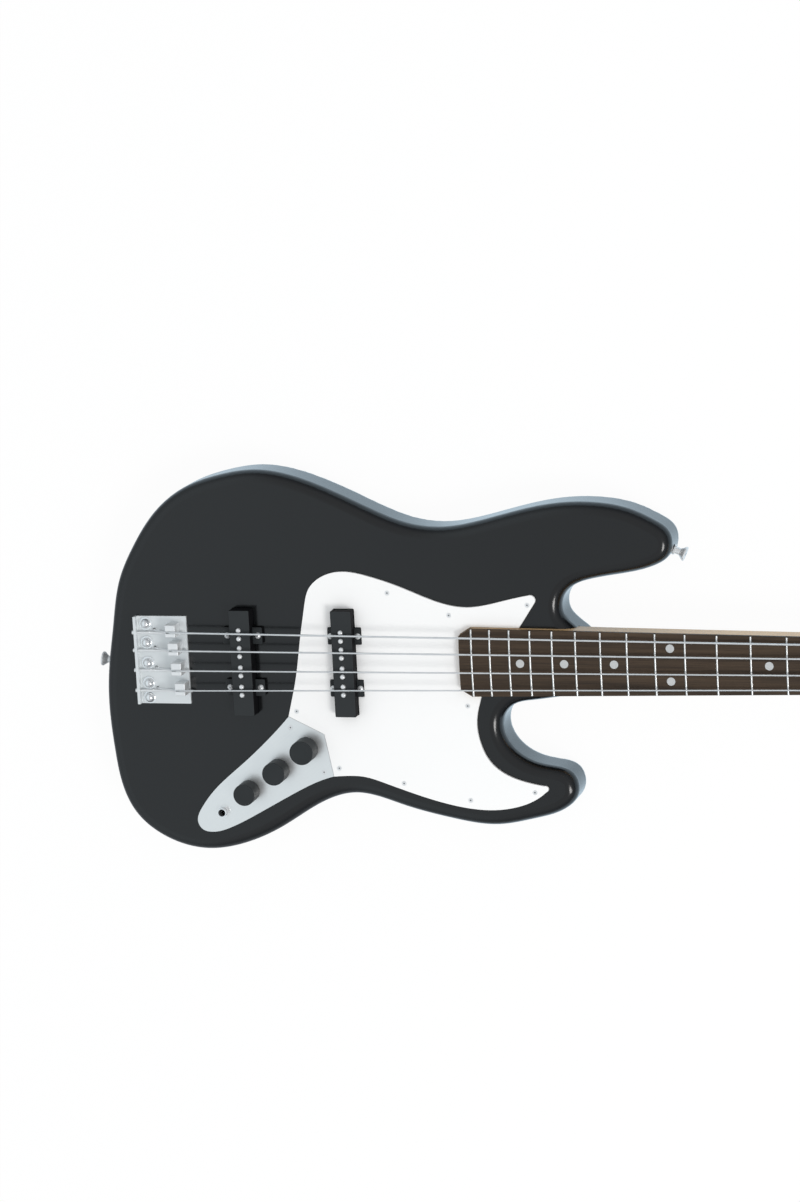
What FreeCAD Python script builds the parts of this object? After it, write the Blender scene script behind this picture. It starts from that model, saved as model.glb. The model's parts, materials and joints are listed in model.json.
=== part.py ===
import FreeCAD, Part
import math
import os
from FreeCAD import Vector

# Electric bass guitar: solid body, bolted neck, two pickups, open-geared tuners.
# Lengths are millimetres. X runs along the strings from the saddles to the head, Y towards the
# thickest string, Z out of the face. Zero lies on the back of the body, under the scale line.

# Shared clearances
overrun = 3.0
seat_gap = 0.1
side_gap = 0.4
running_gap = 0.06
moving_gap = 0.3
straight_limit = 0.000001

# Strings, from the thickest to the thinnest
scale_length = 864.0
string_names = ["e", "a", "d", "g"]
string_diameters = [1.75, 1.6, 1.45, 1.3]
bridge_string_places = [26.0, 10.1, -7.7, -25.9]
nut_string_places = [15.5, 5.7, -6.4, -16.2]
saddle_string_rise = 5.5
nut_string_rise = 0.4
string_bend_radius = 4.0
ball_end_radius = 2.3
ball_end_length = 5.0
string_hole_gap = 0.5
ferrule_radius = 4.2
ferrule_flange_radius = 5.4
ferrule_flange_thickness = 1.4
ferrule_length = 9.0
ferrule_roof = 2.0

# Body
body_length = 513.0
body_width = 339.6
body_thickness = 44.5
body_tail_reach = 65.5
body_low_reach = 174.0
body_edge_round = 10.0
rounding_try_count = 24
body_outline_shares = [
    (0.845, 0.578), (0.830, 0.598), (0.811, 0.629), (0.811, 0.671), (0.831, 0.704), (0.859, 0.719),
    (0.915, 0.734), (0.972, 0.757), (0.991, 0.777), (0.998, 0.805), (0.994, 0.838), (0.968, 0.870),
    (0.927, 0.898), (0.869, 0.914), (0.810, 0.913), (0.751, 0.898), (0.668, 0.866), (0.610, 0.852),
    (0.553, 0.860), (0.471, 0.909), (0.390, 0.964), (0.334, 0.991), (0.284, 1.000), (0.225, 0.988),
    (0.159, 0.954), (0.108, 0.897), (0.060, 0.797), (0.034, 0.717), (0.016, 0.589), (0.004, 0.480),
    (0.000, 0.371), (0.005, 0.261), (0.014, 0.172), (0.037, 0.094), (0.081, 0.036), (0.167, 0.000),
    (0.221, 0.012), (0.302, 0.064), (0.378, 0.133), (0.434, 0.157), (0.519, 0.127), (0.603, 0.095),
    (0.683, 0.081), (0.748, 0.099), (0.802, 0.128), (0.821, 0.158), (0.824, 0.184), (0.816, 0.216),
    (0.765, 0.241), (0.716, 0.280), (0.700, 0.321), (0.701, 0.364), (0.719, 0.395), (0.752, 0.407),
    (0.802, 0.418), (0.845, 0.433)]

# Neck, fretboard and nut
board_end = 261.0
board_thickness = 4.5
board_top = 54.0
board_radius = 240.0
heel_width = 59.8
nut_width = 38.6
heel_cut_length = 9.9
heel_cut_width = 6.4
pocket_depth = 16.0
heel_length = 92.0
heel_ramp_length = 32.0
heel_corner_round = 3.0
neck_depth_at_heel = 20.5
neck_depth_at_nut = 19.5
neck_back_round = 4.0
nut_thickness = 4.5
nut_shelf_length = 4.0
nut_groove_share = 0.6
truss_rod_width = 6.0
truss_rod_depth = 9.0
truss_rod_end_margin = 12.0
truss_nut_radius = 4.0
truss_nut_length = 14.0

# Frets and dots
semitones = 12
last_fret_margin = 8.0
fret_width = 1.6
fret_height = 1.1
fret_end_margin = 0.6
fret_tang_width = 0.6
fret_tang_depth = 1.8
dot_radius = 3.6
dot_depth = 1.5
single_dot_frets = [3, 5, 7, 9, 14, 16, 18]
double_dot_fret = 12
dot_pair_width = 28.4

# Headstock
head_length = 175.0
head_drop = 6.5
head_thickness = 14.5
head_ramp_length = 28.0
head_neck_width = 48.0
head_width = 78.0
head_edge_round = 2.0
head_lower_shares = [(0.24, -0.33), (0.55, -0.39), (0.80, -0.43)]
head_tip_shares = [(0.955, -0.32), (1.0, -0.10), (0.90, 0.09)]
head_shoulder_shares = [(0.09, 0.54), (0.03, 0.47)]

# Pickguard
guard_thickness = 2.3
guard_left = 101.0
guard_low_reach = 131.2
guard_length = 232.0
guard_width = 209.0
guard_upper_shares = [
    (0.024, 0.448), (0.045, 0.542), (0.070, 0.706), (0.095, 0.855), (0.115, 0.927), (0.171, 0.981),
    (0.242, 1.000), (0.345, 0.982), (0.481, 0.931), (0.616, 0.872), (0.718, 0.853), (0.821, 0.870),
    (0.953, 0.903)]
guard_upper_tip_shares = [(0.974, 0.899), (0.976, 0.872)]
guard_neck_shares = [(0.900, 0.745), (0.764, 0.500)]
guard_cutaway_shares = [
    (0.756, 0.467), (0.740, 0.399), (0.738, 0.341), (0.750, 0.276), (0.778, 0.211), (0.825, 0.162),
    (0.892, 0.128), (0.983, 0.105)]
guard_lower_tip_shares = [(0.999, 0.093), (0.991, 0.081)]
guard_lower_shares = [
    (0.940, 0.041), (0.871, 0.013), (0.784, 0.000), (0.664, 0.011), (0.509, 0.055), (0.372, 0.107),
    (0.289, 0.133), (0.228, 0.135)]
guard_screw_shares = [
    (0.418, 0.912), (0.650, 0.820), (0.949, 0.864), (0.706, 0.440), (0.947, 0.078), (0.700, 0.040),
    (0.446, 0.107), (0.197, 0.167), (0.042, 0.408)]
guard_screw_head_radius = 2.0
guard_screw_head_depth = 1.1
guard_screw_radius = 1.3
guard_screw_length = 14.0

# Control plate, with the jack and the knobs on one slanted line
plate_thickness = 1.9
plate_left = 13.9
plate_low_reach = 156.2
plate_length = 127.3
plate_width = 105.3
plate_outline_shares = [
    (1.000, 0.497), (0.914, 0.464), (0.716, 0.350), (0.448, 0.171), (0.246, 0.047), (0.111, 0.002),
    (0.028, 0.026), (0.000, 0.092), (0.034, 0.206), (0.131, 0.357), (0.339, 0.580), (0.544, 0.804),
    (0.700, 1.000)]
plate_corner_share = (0.947, 0.853)
plate_screw_shares = [(0.709, 0.908), (0.932, 0.532)]
control_x = 38.0
control_y = -137.5
control_pitch = 32.8
control_side_shifts = [0, -1.5, 0, 0]
control_angle = 36.1
cavity_radius = 15.0
cavity_floor = 9.0

# Potentiometers, knobs and jack
knob_names = ["tone_knob", "bridge_volume_knob", "neck_volume_knob"]
shaft_names = ["tone_shaft", "bridge_volume_shaft", "neck_volume_shaft"]
knob_radii = [9.6, 10.1, 10.6]
knob_height = 15.5
knob_lift = 0.6
knob_edge_round = 0.4
knob_recess_radius = 7.4
knob_recess_depth = 7.5
knob_roof = 3.0
pot_can_radius = 12.0
pot_can_height = 8.0
pot_collar_radius = 6.5
pot_collar_height = 2.6
pot_thread_radius = 4.7
pot_thread_rise = 5.5
pot_lug_width = 10.0
pot_lug_reach = 13.5
pot_lug_thickness = 1.5
shaft_radius = 3.0
shaft_depth = 5.0
control_nut_flats = 11.0
control_nut_height = 2.4
control_washer_radius = 6.9
control_washer_thickness = 0.7
jack_bore_radius = 3.25
jack_thread_radius = 4.0
jack_rise = 5.0
jack_nut_flats = 9.4
jack_nut_height = 1.8
jack_body_radius = 8.0
jack_body_height = 7.0
jack_leaf_width = 6.0
jack_leaf_thickness = 1.0
jack_leaf_length = 16.0
capacitor_radius = 4.5
capacitor_thickness = 3.0
capacitor_drop = 7.0
lead_radius = 0.5
wire_radius = 0.9
wire_bend_radius = 2.5

# Pickups
pickup_places = [66.0, 158.0]
pickup_names = ["bridge_pickup_cover", "neck_pickup_cover"]
pickup_side = -1.6
pickup_width = 18.6
pickup_length = 93.6
pickup_rise = 12.0
pickup_bottom = 30.0
pickup_wall = 1.6
pickup_corner_round = 0.9
pickup_edge_round = 0.5
ear_reaches = [17.9, 14.8]
ear_width = 14.6
ear_thickness = 4.0
ear_place = 23.1
ear_corner_round = 1.0
ear_screw_reaches = [13.9, 12.2]
pole_pair_places = [[23.9, 8.3, -8.9, -26.1], [22.6, 7.7, -8.9, -25.0]]
pole_shift = -0.9
pole_radius = 2.2
pole_rise = 1.7
pole_spread = 7.3
pole_edge_round = 1.5
pickup_cavity_floor = 22.5
foam_length = 50.0
pickup_screw_head_radius = 2.7
pickup_screw_head_height = 1.6
pickup_screw_radius = 1.5
pickup_screw_length = 16.0
channel_radius = 4.0
channel_height = 25.0
channel_y = -38.0

# Bridge
bridge_front = 14.4
bridge_length = 47.5
bridge_side = -1.2
bridge_width = 78.2
bridge_plate_thickness = 2.0
bridge_wall_height = 5.0
bridge_wall_thickness = 2.4
bridge_screw_margin = 10.3
bridge_screw_sides = [31.4, 14.5, -3.8, -21.8, -34.6]
bridge_screw_head_radius = 4.6
bridge_screw_head_height = 4.4
bridge_washer_radius = 5.6
bridge_washer_thickness = 1.0
bridge_screw_radius = 2.0
bridge_screw_length = 25.0
string_hole_distance = 17.6
string_corner_rise = 2.4
saddle_length = 9.3
saddle_width = 10.8
saddle_side = 1.1
saddle_edge_round = 0.6
saddle_front_e = 8.2
saddle_stagger = 1.95
saddle_flat_share = 0.45
saddle_groove_depth = 1.0
saddle_groove_fall = 6.5
saddle_travel = 4.0
intonation_screw_radius = 1.0
intonation_screw_height = 2.4
intonation_screw_offset = 2.4
intonation_head_radius = 1.8
intonation_head_length = 1.8

# Strap buttons
button_base_radius = 4.6
button_base_thickness = 1.4
button_neck_radius = 3.0
button_neck_length = 4.2
button_rim_radius = 6.2
button_flare_length = 4.0
button_rim_thickness = 1.2
button_screw_radius = 1.8
button_screw_head_radius = 3.6
button_screw_head_depth = 2.0
button_screw_length = 24.0
tail_button_side = -7.0
horn_button_shares = (0.9955, 0.787)

# Neck plate
neck_plate_length = 58.0
neck_plate_width = 44.0
neck_plate_thickness = 2.0
neck_plate_round = 6.0
neck_plate_place = 46.0
neck_screw_margin = 8.0
neck_screw_radius = 2.4
neck_screw_head_radius = 4.4
neck_screw_head_depth = 1.8
neck_screw_length = 40.0

# Tuners, in a frame whose first axis runs along the row of posts and second axis along the key
nut_to_post_length = 48.0
post_pitch = 40.0
post_row_start = 20.9
post_row_fall = 9.8
post_radius = 6.0
post_waist_radius = 4.8
post_collar_rise = 1.3
post_waist_length = 13.0
post_head_length = 5.0
post_slot_floor_drop = 2.5
post_edge_round = 0.8
winding_gap = 0.3
winding_step_gap = 0.6
winding_quarter_turns = [8, 9, 11, 13]
winding_bend_share = 0.4
winding_mouth_share = 0.42
wrap_quarter_turns = 3
wrap_rise = 2.1
bushing_outer_radius = 8.3
bushing_flange_radius = 10.2
bushing_flange_thickness = 2.0
bushing_depth = 9.0
tuner_plate_thickness = 1.6
tuner_plate_back = 17.0
tuner_plate_front = 22.5
tuner_plate_low = 14.0
tuner_plate_high = 15.0
tuner_plate_round = 4.0
tuner_screw_margin = 3.6
tuner_screw_radius = 1.4
tuner_screw_head_radius = 2.4
tuner_screw_head_height = 1.5
tuner_screw_length = 10.0
gear_teeth = 20
gear_radius = 9.0
gear_thickness = 4.0
gear_screw_radius = 3.6
gear_screw_height = 1.8
mesh_gap = 0.2
worm_core_radius = 2.6
worm_thread_radius = 0.75
worm_thread_lift = 0.3
worm_turns = 5
worm_drop = 4.4
key_shaft_radius = 2.2
key_lug_thickness = 2.0
key_lug_width = 8.6
key_lug_drop = 3.6
key_lug_gap = 0.3
key_reach = 27.0
key_stem_radius = 3.6
key_stem_length = 6.0
key_thickness = 4.4
key_lobe_radius = 7.2
key_lobe_spread = 6.6
key_lobe_place = 11.0
key_tip_place = 18.0
key_edge_round = 1.2
tree_string_count = 2
tree_distance = 70.0
tree_length = 20.0
tree_width = 7.0
tree_thickness = 2.0
tree_height = 6.6
tree_string_gap = 0.6
tree_stem_radius = 2.6
tree_screw_head_radius = 2.6
tree_screw_head_height = 1.5
tree_screw_radius = 1.2
tree_screw_length = 12.0

# Places that follow from the sizes above
board_length = scale_length - board_end
fret_count = math.floor(semitones * math.log2(scale_length / (board_end + last_fret_margin)))
neck_top = board_top - board_thickness
heel_floor = body_thickness - pocket_depth
heel_end = board_end + heel_length
head_face = neck_top - head_drop
head_back = head_face - head_thickness
nut_end = scale_length + nut_thickness
shelf_end = nut_end + nut_shelf_length
head_start = shelf_end + head_ramp_length
fret_plane = board_top + fret_height
guard_top = body_thickness + guard_thickness
plate_top = body_thickness + plate_thickness
bridge_rear = bridge_front - bridge_length
bridge_top = body_thickness + bridge_plate_thickness
string_hole_x = bridge_rear + string_hole_distance
ferrule_seat = seat_gap + ferrule_length - ferrule_roof
pickup_top = body_thickness + pickup_rise
string_count = len(string_names)
string_radii = [diameter / 2 for diameter in string_diameters]
tuner_plate_bottom = head_back - tuner_plate_thickness
worm_height = tuner_plate_bottom - worm_drop
thread_path_radius = worm_core_radius + worm_thread_lift
gear_pitch = 2 * math.pi * gear_radius / gear_teeth
worm_distance = gear_radius + thread_path_radius
worm_half_length = gear_pitch * worm_turns / 2 + worm_thread_radius
collar_top = head_face + bushing_flange_thickness + post_collar_rise
waist_top = collar_top + post_waist_length
post_top = waist_top + post_head_length
slot_floor = waist_top - post_slot_floor_drop
wrap_start = collar_top + wrap_rise
wrap_radii = [post_waist_radius + radius + winding_gap for radius in string_radii]


def neck_width(x):
    return heel_width + (nut_width - heel_width) * (x - board_end) / board_length


def string_y(index, x):
    start = bridge_string_places[index]
    return start + (nut_string_places[index] - start) * x / scale_length


def crown_drop(y):
    return board_radius - math.sqrt(board_radius ** 2 - y ** 2)


def fret_x(number):
    return scale_length * 2 ** (-number / semitones)


def control_place(step):
    turn = math.radians(control_angle)
    along = step * control_pitch
    x = control_x + control_side_shifts[step] + along * math.cos(turn)
    return x, control_y + along * math.sin(turn)


def post_x(index):
    return scale_length + nut_to_post_length + index * post_pitch


def post_y(index):
    return post_row_start - index * post_row_fall


def post_row_angle():
    return math.degrees(math.atan2(-post_row_fall, post_pitch))


# Shape helpers
def box(x0, x1, y0, y1, z0, z1):
    return Part.makeBox(x1 - x0, y1 - y0, z1 - z0, Vector(x0, y0, z0))


def upright(radius, x, y, z0, z1):
    return Part.makeCylinder(radius, z1 - z0, Vector(x, y, z0))


def rod(radius, start, end):
    return Part.makeCylinder(radius, (end - start).Length, start, end - start)


def fused(shapes):
    return shapes[0].multiFuse(shapes[1:]).removeSplitter()


def moved(shape, x, y, z):
    copy = shape.copy()
    copy.translate(Vector(x, y, z))
    return copy


def prism(wire, z0, z1):
    face = Part.Face(wire)
    face.translate(Vector(0, 0, z0))
    return face.extrude(Vector(0, 0, z1 - z0))


def line(start, end):
    return Part.LineSegment(start, end).toShape()


def curve(points):
    spline = Part.BSplineCurve()
    spline.interpolate(points)
    return spline.toShape()


def arc_through(start, middle, end):
    return Part.Arc(start, middle, end).toShape()


def placed_shares(shares, left, low, length, width):
    return [Vector(left + across * length, low + up * width, 0) for across, up in shares]


def rounded_plate(x0, x1, y0, y1, z0, z1, radius):
    plate = box(x0, x1, y0, y1, z0, z1)
    corners = [edge for edge in plate.Edges if edge.BoundBox.ZLength > (z1 - z0) / 2]
    return plate.makeFillet(radius, corners)


def flat_edges(shape, z):
    return [edge for edge in shape.Edges
            if abs(edge.BoundBox.ZMin - z) + abs(edge.BoundBox.ZMax - z) < seat_gap]


def turned(profile):
    points = [Vector(radius, 0, z) for radius, z in profile]
    face = Part.Face(Part.makePolygon(points + points[:1]))
    return face.revolve(Vector(0, 0, 0), Vector(0, 0, 1), 360)


def dome_screw(head_radius, head_height, radius, length, washer_radius=0, washer_thickness=0):
    ball = (head_radius ** 2 + head_height ** 2) / (2 * head_height)
    half = math.asin(head_radius / ball) / 2
    base = washer_thickness
    peak = Vector(0, 0, base + head_height)
    rim = Vector(head_radius, 0, base)
    middle = Vector(ball * math.sin(half), 0, peak.z - ball + ball * math.cos(half))
    outline = [Vector(0, 0, -length), Vector(radius, 0, -length), Vector(radius, 0, 0)]
    if washer_thickness:
        outline += [Vector(washer_radius, 0, 0), Vector(washer_radius, 0, base)]
    outline.append(rim)
    edges = [line(a, b) for a, b in zip(outline, outline[1:])]
    edges += [arc_through(rim, middle, peak), line(peak, outline[0])]
    return Part.Face(Part.Wire(edges)).revolve(Vector(0, 0, 0), Vector(0, 0, 1), 360)


def flat_screw(head_radius, head_depth, radius, length):
    return turned([(0, -length), (radius, -length), (radius, -head_depth), (head_radius, 0), (0, 0)])


def flat_screw_hole(head_radius, head_depth, radius, length):
    wide = radius + seat_gap
    rim = head_radius + seat_gap
    deep = length + seat_gap
    return turned([(0, -deep), (wide, -deep), (wide, -head_depth), (rim, 0), (rim, overrun), (0, overrun)])


# Paths of straight runs and arcs for strings, wires and turns
def arc_from(start, tangent, end):
    chord = end - start
    along = chord.dot(tangent) / chord.Length
    side = tangent - chord * (along / chord.Length)
    if side.Length < straight_limit:
        return line(start, end)
    bulge = math.tan(math.acos(min(along, 1)) / 2) * chord.Length / 2
    return arc_through(start, start + chord / 2 + side * (bulge / side.Length), end)


def biarc(start, start_tangent, end, end_tangent):
    reach = end - start
    both = start_tangent + end_tangent
    spread = 2 * (1 - start_tangent.dot(end_tangent))
    slope = reach.dot(both)
    step = (math.sqrt(slope ** 2 + spread * reach.dot(reach)) - slope) / spread
    first = start + start_tangent * step
    second = end - end_tangent * step
    joint = (first + second) / 2
    joint_tangent = (second - first) / (second - first).Length
    return [arc_from(start, start_tangent, joint), arc_from(joint, joint_tangent, end)]


def rounded_run(points, radius):
    edges = []
    start = points[0]
    for before, corner, after in zip(points, points[1:], points[2:]):
        enter = (corner - before).normalize()
        leave = (after - corner).normalize()
        trim = radius * math.tan(enter.getAngle(leave) / 2)
        edges.append(line(start, corner - enter * trim))
        edges.append(arc_from(corner - enter * trim, enter, corner + leave * trim))
        start = corner + leave * trim
    return edges + [line(start, points[-1])]


def turn_point(centre, radius, angle, z):
    return Vector(centre.x + radius * math.cos(angle), centre.y + radius * math.sin(angle), z)


def turn_tangent(radius, angle, pitch):
    climb = pitch / (2 * math.pi * radius)
    return Vector(-math.sin(angle), math.cos(angle), climb).normalize()


def turns(centre, radius, angle, z, pitch, quarters, first_tangent=None):
    """Rising turns about an upright axis, two arcs to each quarter turn."""
    edges = []
    tangent = first_tangent or turn_tangent(radius, angle, pitch)
    for quarter in range(quarters):
        begin = angle + quarter * math.pi / 2
        end = begin + math.pi / 2
        low = z + pitch * quarter / 4
        leave = turn_tangent(radius, end, pitch)
        edges += biarc(turn_point(centre, radius, begin, low), tangent,
                       turn_point(centre, radius, end, low + pitch / 4), leave)
        tangent = leave
    return edges


def tube(edges, radius):
    path = Part.Wire(edges)
    first = edges[0]
    start = first.valueAt(first.FirstParameter)
    ring = Part.makeCircle(radius, start, first.tangentAt(first.FirstParameter))
    return path.makePipeShell([Part.Wire(ring)], True, False)


def least_gap(edges, radius):
    """Smallest clear distance between stretches of a path that lie over half a turn apart."""
    points = []
    for edge in edges:
        points += edge.discretize(8)[:-1]
    runs = [0]
    for before, after in zip(points, points[1:]):
        runs.append(runs[-1] + (after - before).Length)
    apart = 8 * radius
    gaps = [(points[i] - points[j]).Length - 2 * radius
            for i in range(len(points)) for j in range(i) if runs[i] - runs[j] > apart]
    return min(gaps)


# Body with its pocket, cavities, channels and screw holes
def body_places(shares):
    return placed_shares(shares, -body_tail_reach, -body_low_reach, body_length, body_width)


def rounded_blank(aside):
    """Body with both rims rounded, worked out a given distance along from its place and moved back."""
    points = [point + Vector(aside, 0, 0) for point in body_places(body_outline_shares)]
    wire = Part.Wire([curve(points), line(points[-1], points[0])])
    blank = prism(wire, 0, body_thickness)
    rims = [edge for edge in flat_edges(blank, 0) + flat_edges(blank, body_thickness)
            if edge.Curve.TypeId == "Part::GeomBSplineCurve"]
    return moved(blank.makeFillet(body_edge_round, rims), -aside, 0, 0)


def body_blank():
    """The rounding of so long a rim can stop in one place and not in the next, so several are tried."""
    for step in range(rounding_try_count):
        try:
            return rounded_blank(step * overrun)
        except Part.OCCError as stopped:
            reason = stopped
    raise reason


def neck_plan(x_end, gap, z0, z1):
    half_near = neck_width(board_end) / 2 + gap
    half_far = neck_width(x_end) / 2 + gap
    near = board_end - gap
    corner = half_near - heel_cut_width
    shoulder = neck_width(board_end + heel_cut_length) / 2 + gap
    right = [(near, corner), (near + heel_cut_length, shoulder), (x_end, half_far)]
    left = [(x, -y) for x, y in reversed(right)]
    points = [Vector(x, y, 0) for x, y in right + left]
    return prism(Part.makePolygon(points + points[:1]), z0, z1)


def pickup_outline(which, gap, z0, z1):
    place = pickup_places[which]
    half_width = pickup_width / 2 + gap
    half_length = pickup_length / 2 + gap
    return rounded_plate(place - half_width, place + half_width, pickup_side - half_length,
                         pickup_side + half_length, z0, z1, pickup_corner_round + max(gap, 0))


def ear_middles():
    return [pickup_side + end * ear_place for end in (1, -1)]


def ear_outlines(which, gap, z0, z1):
    place = pickup_places[which]
    half = ear_width / 2 + gap
    reach = ear_reaches[which] + gap
    return [rounded_plate(place - reach, place + reach, y - half, y + half, z0, z1, ear_corner_round)
            for y in ear_middles()]


def control_cavity():
    first_x, first_y = control_place(0)
    last_x, last_y = control_place(3)
    length = math.hypot(last_x - first_x, last_y - first_y)
    trench = box(0, length, -cavity_radius, cavity_radius, cavity_floor, body_thickness + overrun)
    trench.rotate(Vector(0, 0, 0), Vector(0, 0, 1), control_angle)
    trench.translate(Vector(first_x, first_y, 0))
    ends = [upright(cavity_radius, x, y, cavity_floor, body_thickness + overrun)
            for x, y in ((first_x, first_y), (last_x, last_y))]
    return fused([trench] + ends)


def channels():
    lanes = [Vector(place, channel_y, channel_height) for place in pickup_places]
    middle_x, middle_y = control_place(2)
    return [rod(channel_radius, lanes[1], lanes[0]),
            rod(channel_radius, lanes[0], Vector(middle_x, middle_y, channel_height))]


def ear_screw_places(which):
    reach = ear_screw_reaches[which]
    return [(pickup_places[which] + side * reach, y) for side in (1, -1) for y in ear_middles()]


def bridge_screw_places():
    return [(bridge_rear + bridge_screw_margin, y) for y in bridge_screw_sides]


def guard_places(shares):
    return placed_shares(shares, guard_left, -guard_low_reach, guard_length, guard_width)


def plate_places(shares):
    return placed_shares(shares, plate_left, -plate_low_reach, plate_length, plate_width)


def guard_screw_places():
    guard = [(p.x, p.y, guard_top) for p in guard_places(guard_screw_shares)]
    return guard + [(p.x, p.y, plate_top) for p in plate_places(plate_screw_shares)]


def neck_screw_places():
    middle = board_end + neck_plate_place
    reach = neck_plate_length / 2 - neck_screw_margin
    side = neck_plate_width / 2 - neck_screw_margin
    return [(middle + a * reach, b * side) for a in (1, -1) for b in (1, -1)]


def button_seats():
    """Foot of each strap button on the side wall, with the wall's outward direction."""
    outline = curve(body_places(body_outline_shares))
    seats = []
    tail = Vector(-body_tail_reach, tail_button_side, 0)
    horn = body_places([horn_button_shares])[0]
    for target in (tail, horn):
        foot = outline.distToShape(Part.Vertex(target))[1][0][0]
        tangent = outline.tangentAt(outline.Curve.parameter(foot))
        outward = Vector(0, 0, 1).cross(tangent) * -1
        if outward.dot(foot - Vector(body_length / 2, 0, 0)) < 0:
            outward = outward * -1
        seats.append((Vector(foot.x, foot.y, body_thickness / 2), outward))
    return seats


def screw_pit(radius, x, y, top, length):
    """Hole in the face of the body for a screw whose shank starts at a height and has a length."""
    return upright(radius + seat_gap, x, y, top - length - seat_gap, body_thickness + overrun)


def body():
    above = body_thickness + overrun
    cutters = [neck_plan(head_start, seat_gap, heel_floor, above), control_cavity()] + channels()
    for which in range(len(pickup_places)):
        cutters.append(pickup_outline(which, side_gap, pickup_cavity_floor, above))
        cutters += [screw_pit(pickup_screw_radius, x, y, body_thickness + ear_thickness, pickup_screw_length)
                    for x, y in ear_screw_places(which)]
    cutters += [screw_pit(bridge_screw_radius, x, y, bridge_top, bridge_screw_length)
                for x, y in bridge_screw_places()]
    cutters += [screw_pit(guard_screw_radius, x, y, top, guard_screw_length)
                for x, y, top in guard_screw_places()]
    for index in range(string_count):
        cutters += string_holes(index, above)
        cutters += ferrule_seats(index)
    for x, y in neck_screw_places():
        cutters.append(upright(neck_screw_radius + seat_gap, x, y, -overrun, heel_floor + overrun))
    cutters.append(neck_plate_blank(seat_gap, -overrun))
    for foot, outward in button_seats():
        cutters.append(rod(button_screw_radius + seat_gap, foot + outward * overrun,
                           foot - outward * (button_screw_length + seat_gap)))
    return body_blank().cut(Part.makeCompound(cutters))


# Pickguard and control plate
def guard():
    low_corner, joint_corner, high_corner = plate_joint(side_gap)
    upper = [high_corner] + guard_places(guard_upper_shares)
    upper_tip = guard_places(guard_upper_tip_shares)
    neck_side = guard_places(guard_neck_shares)
    cutaway = guard_places(guard_cutaway_shares)
    lower_tip = guard_places(guard_lower_tip_shares)
    lower = lower_tip[-1:] + guard_places(guard_lower_shares) + [low_corner]
    edges = [curve(upper),
             arc_through(upper[-1], upper_tip[0], upper_tip[1]),
             line(upper_tip[1], neck_side[0]),
             line(neck_side[0], neck_side[1]),
             curve(neck_side[1:] + cutaway),
             arc_through(cutaway[-1], lower_tip[0], lower_tip[1]),
             curve(lower),
             line(low_corner, joint_corner),
             line(joint_corner, high_corner)]
    sheet = prism(Part.Wire(edges), body_thickness, guard_top)
    top = guard_top + overrun
    cutters = [neck_plan(head_start, side_gap, 0, top), pickup_outline(1, side_gap, 0, top)]
    cutters += ear_outlines(1, side_gap, 0, top)
    cutters += [moved(guard_screw_hole(), x, y, z) for x, y, z in guard_screw_places() if z == guard_top]
    return sheet.cut(Part.makeCompound(cutters))


def guard_screw_hole():
    return flat_screw_hole(guard_screw_head_radius, guard_screw_head_depth, guard_screw_radius,
                           guard_screw_length)


def guard_screws():
    screw = flat_screw(guard_screw_head_radius, guard_screw_head_depth, guard_screw_radius,
                       guard_screw_length)
    return [moved(screw, x, y, z) for x, y, z in guard_screw_places()]


def plate_joint(gap):
    """Corners of the joint between plate and guard, moved towards the guard by a gap."""
    low, joint, high = plate_places([plate_outline_shares[0], plate_corner_share, plate_outline_shares[-1]])
    lower_shift = Vector(0, 0, 1).cross(joint - low).normalize() * -gap
    upper_shift = Vector(0, 0, 1).cross(high - joint).normalize() * -gap
    joint_shift = (lower_shift + upper_shift) / (1 + lower_shift.dot(upper_shift) / gap ** 2)
    return low + lower_shift, joint + joint_shift, high + upper_shift


def control_plate():
    points = plate_places(plate_outline_shares)
    corner = plate_places([plate_corner_share])[0]
    wire = Part.Wire([curve(points), line(points[-1], corner), line(corner, points[0])])
    threads = [jack_thread_radius] + [pot_thread_radius] * len(knob_names)
    cutters = [upright(thread + seat_gap, *control_place(step), 0, plate_top + overrun)
               for step, thread in enumerate(threads)]
    cutters += [moved(guard_screw_hole(), x, y, z) for x, y, z in guard_screw_places() if z == plate_top]
    return prism(wire, body_thickness, plate_top).cut(Part.makeCompound(cutters))


# Potentiometers, knobs, jack and wires
def potentiometer(x, y):
    collar_bottom = body_thickness - pot_collar_height
    can_bottom = pot_can_bottom()
    thread_top = plate_top + pot_thread_rise
    can = turned([(0, can_bottom), (pot_can_radius, can_bottom), (pot_can_radius, collar_bottom),
                  (pot_collar_radius, collar_bottom), (pot_collar_radius, body_thickness),
                  (pot_thread_radius, body_thickness), (pot_thread_radius, thread_top), (0, thread_top)])
    lug = box(0, pot_lug_reach, -pot_lug_width / 2, pot_lug_width / 2, can_bottom,
              can_bottom + pot_lug_thickness)
    lug.rotate(Vector(0, 0, 0), Vector(0, 0, 1), control_angle - 90)
    bore = upright(shaft_radius + running_gap, 0, 0, collar_bottom - shaft_depth, thread_top + overrun)
    return moved(fused([can, lug]).cut(bore), x, y, 0)


def potentiometers():
    return [potentiometer(*control_place(step)) for step in (1, 2, 3)]


def pot_can_bottom():
    return body_thickness - pot_collar_height - pot_can_height


def pot_shaft(step):
    x, y = control_place(step)
    bottom = body_thickness - pot_collar_height - shaft_depth + moving_gap
    return upright(shaft_radius, x, y, bottom, plate_top + knob_lift + knob_height - knob_roof)


def knob(step):
    x, y = control_place(step)
    radius = knob_radii[step - 1]
    base = plate_top + knob_lift
    top = base + knob_height
    cap = upright(radius, 0, 0, base, top)
    cap = cap.makeFillet(knob_edge_round, flat_edges(cap, top))
    recess = upright(knob_recess_radius, 0, 0, base - overrun, base + knob_recess_depth)
    bore = upright(shaft_radius + seat_gap / 2, 0, 0, base, top - knob_roof + seat_gap / 2)
    return moved(cap.cut(Part.makeCompound([recess, bore])), x, y, 0)


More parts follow.
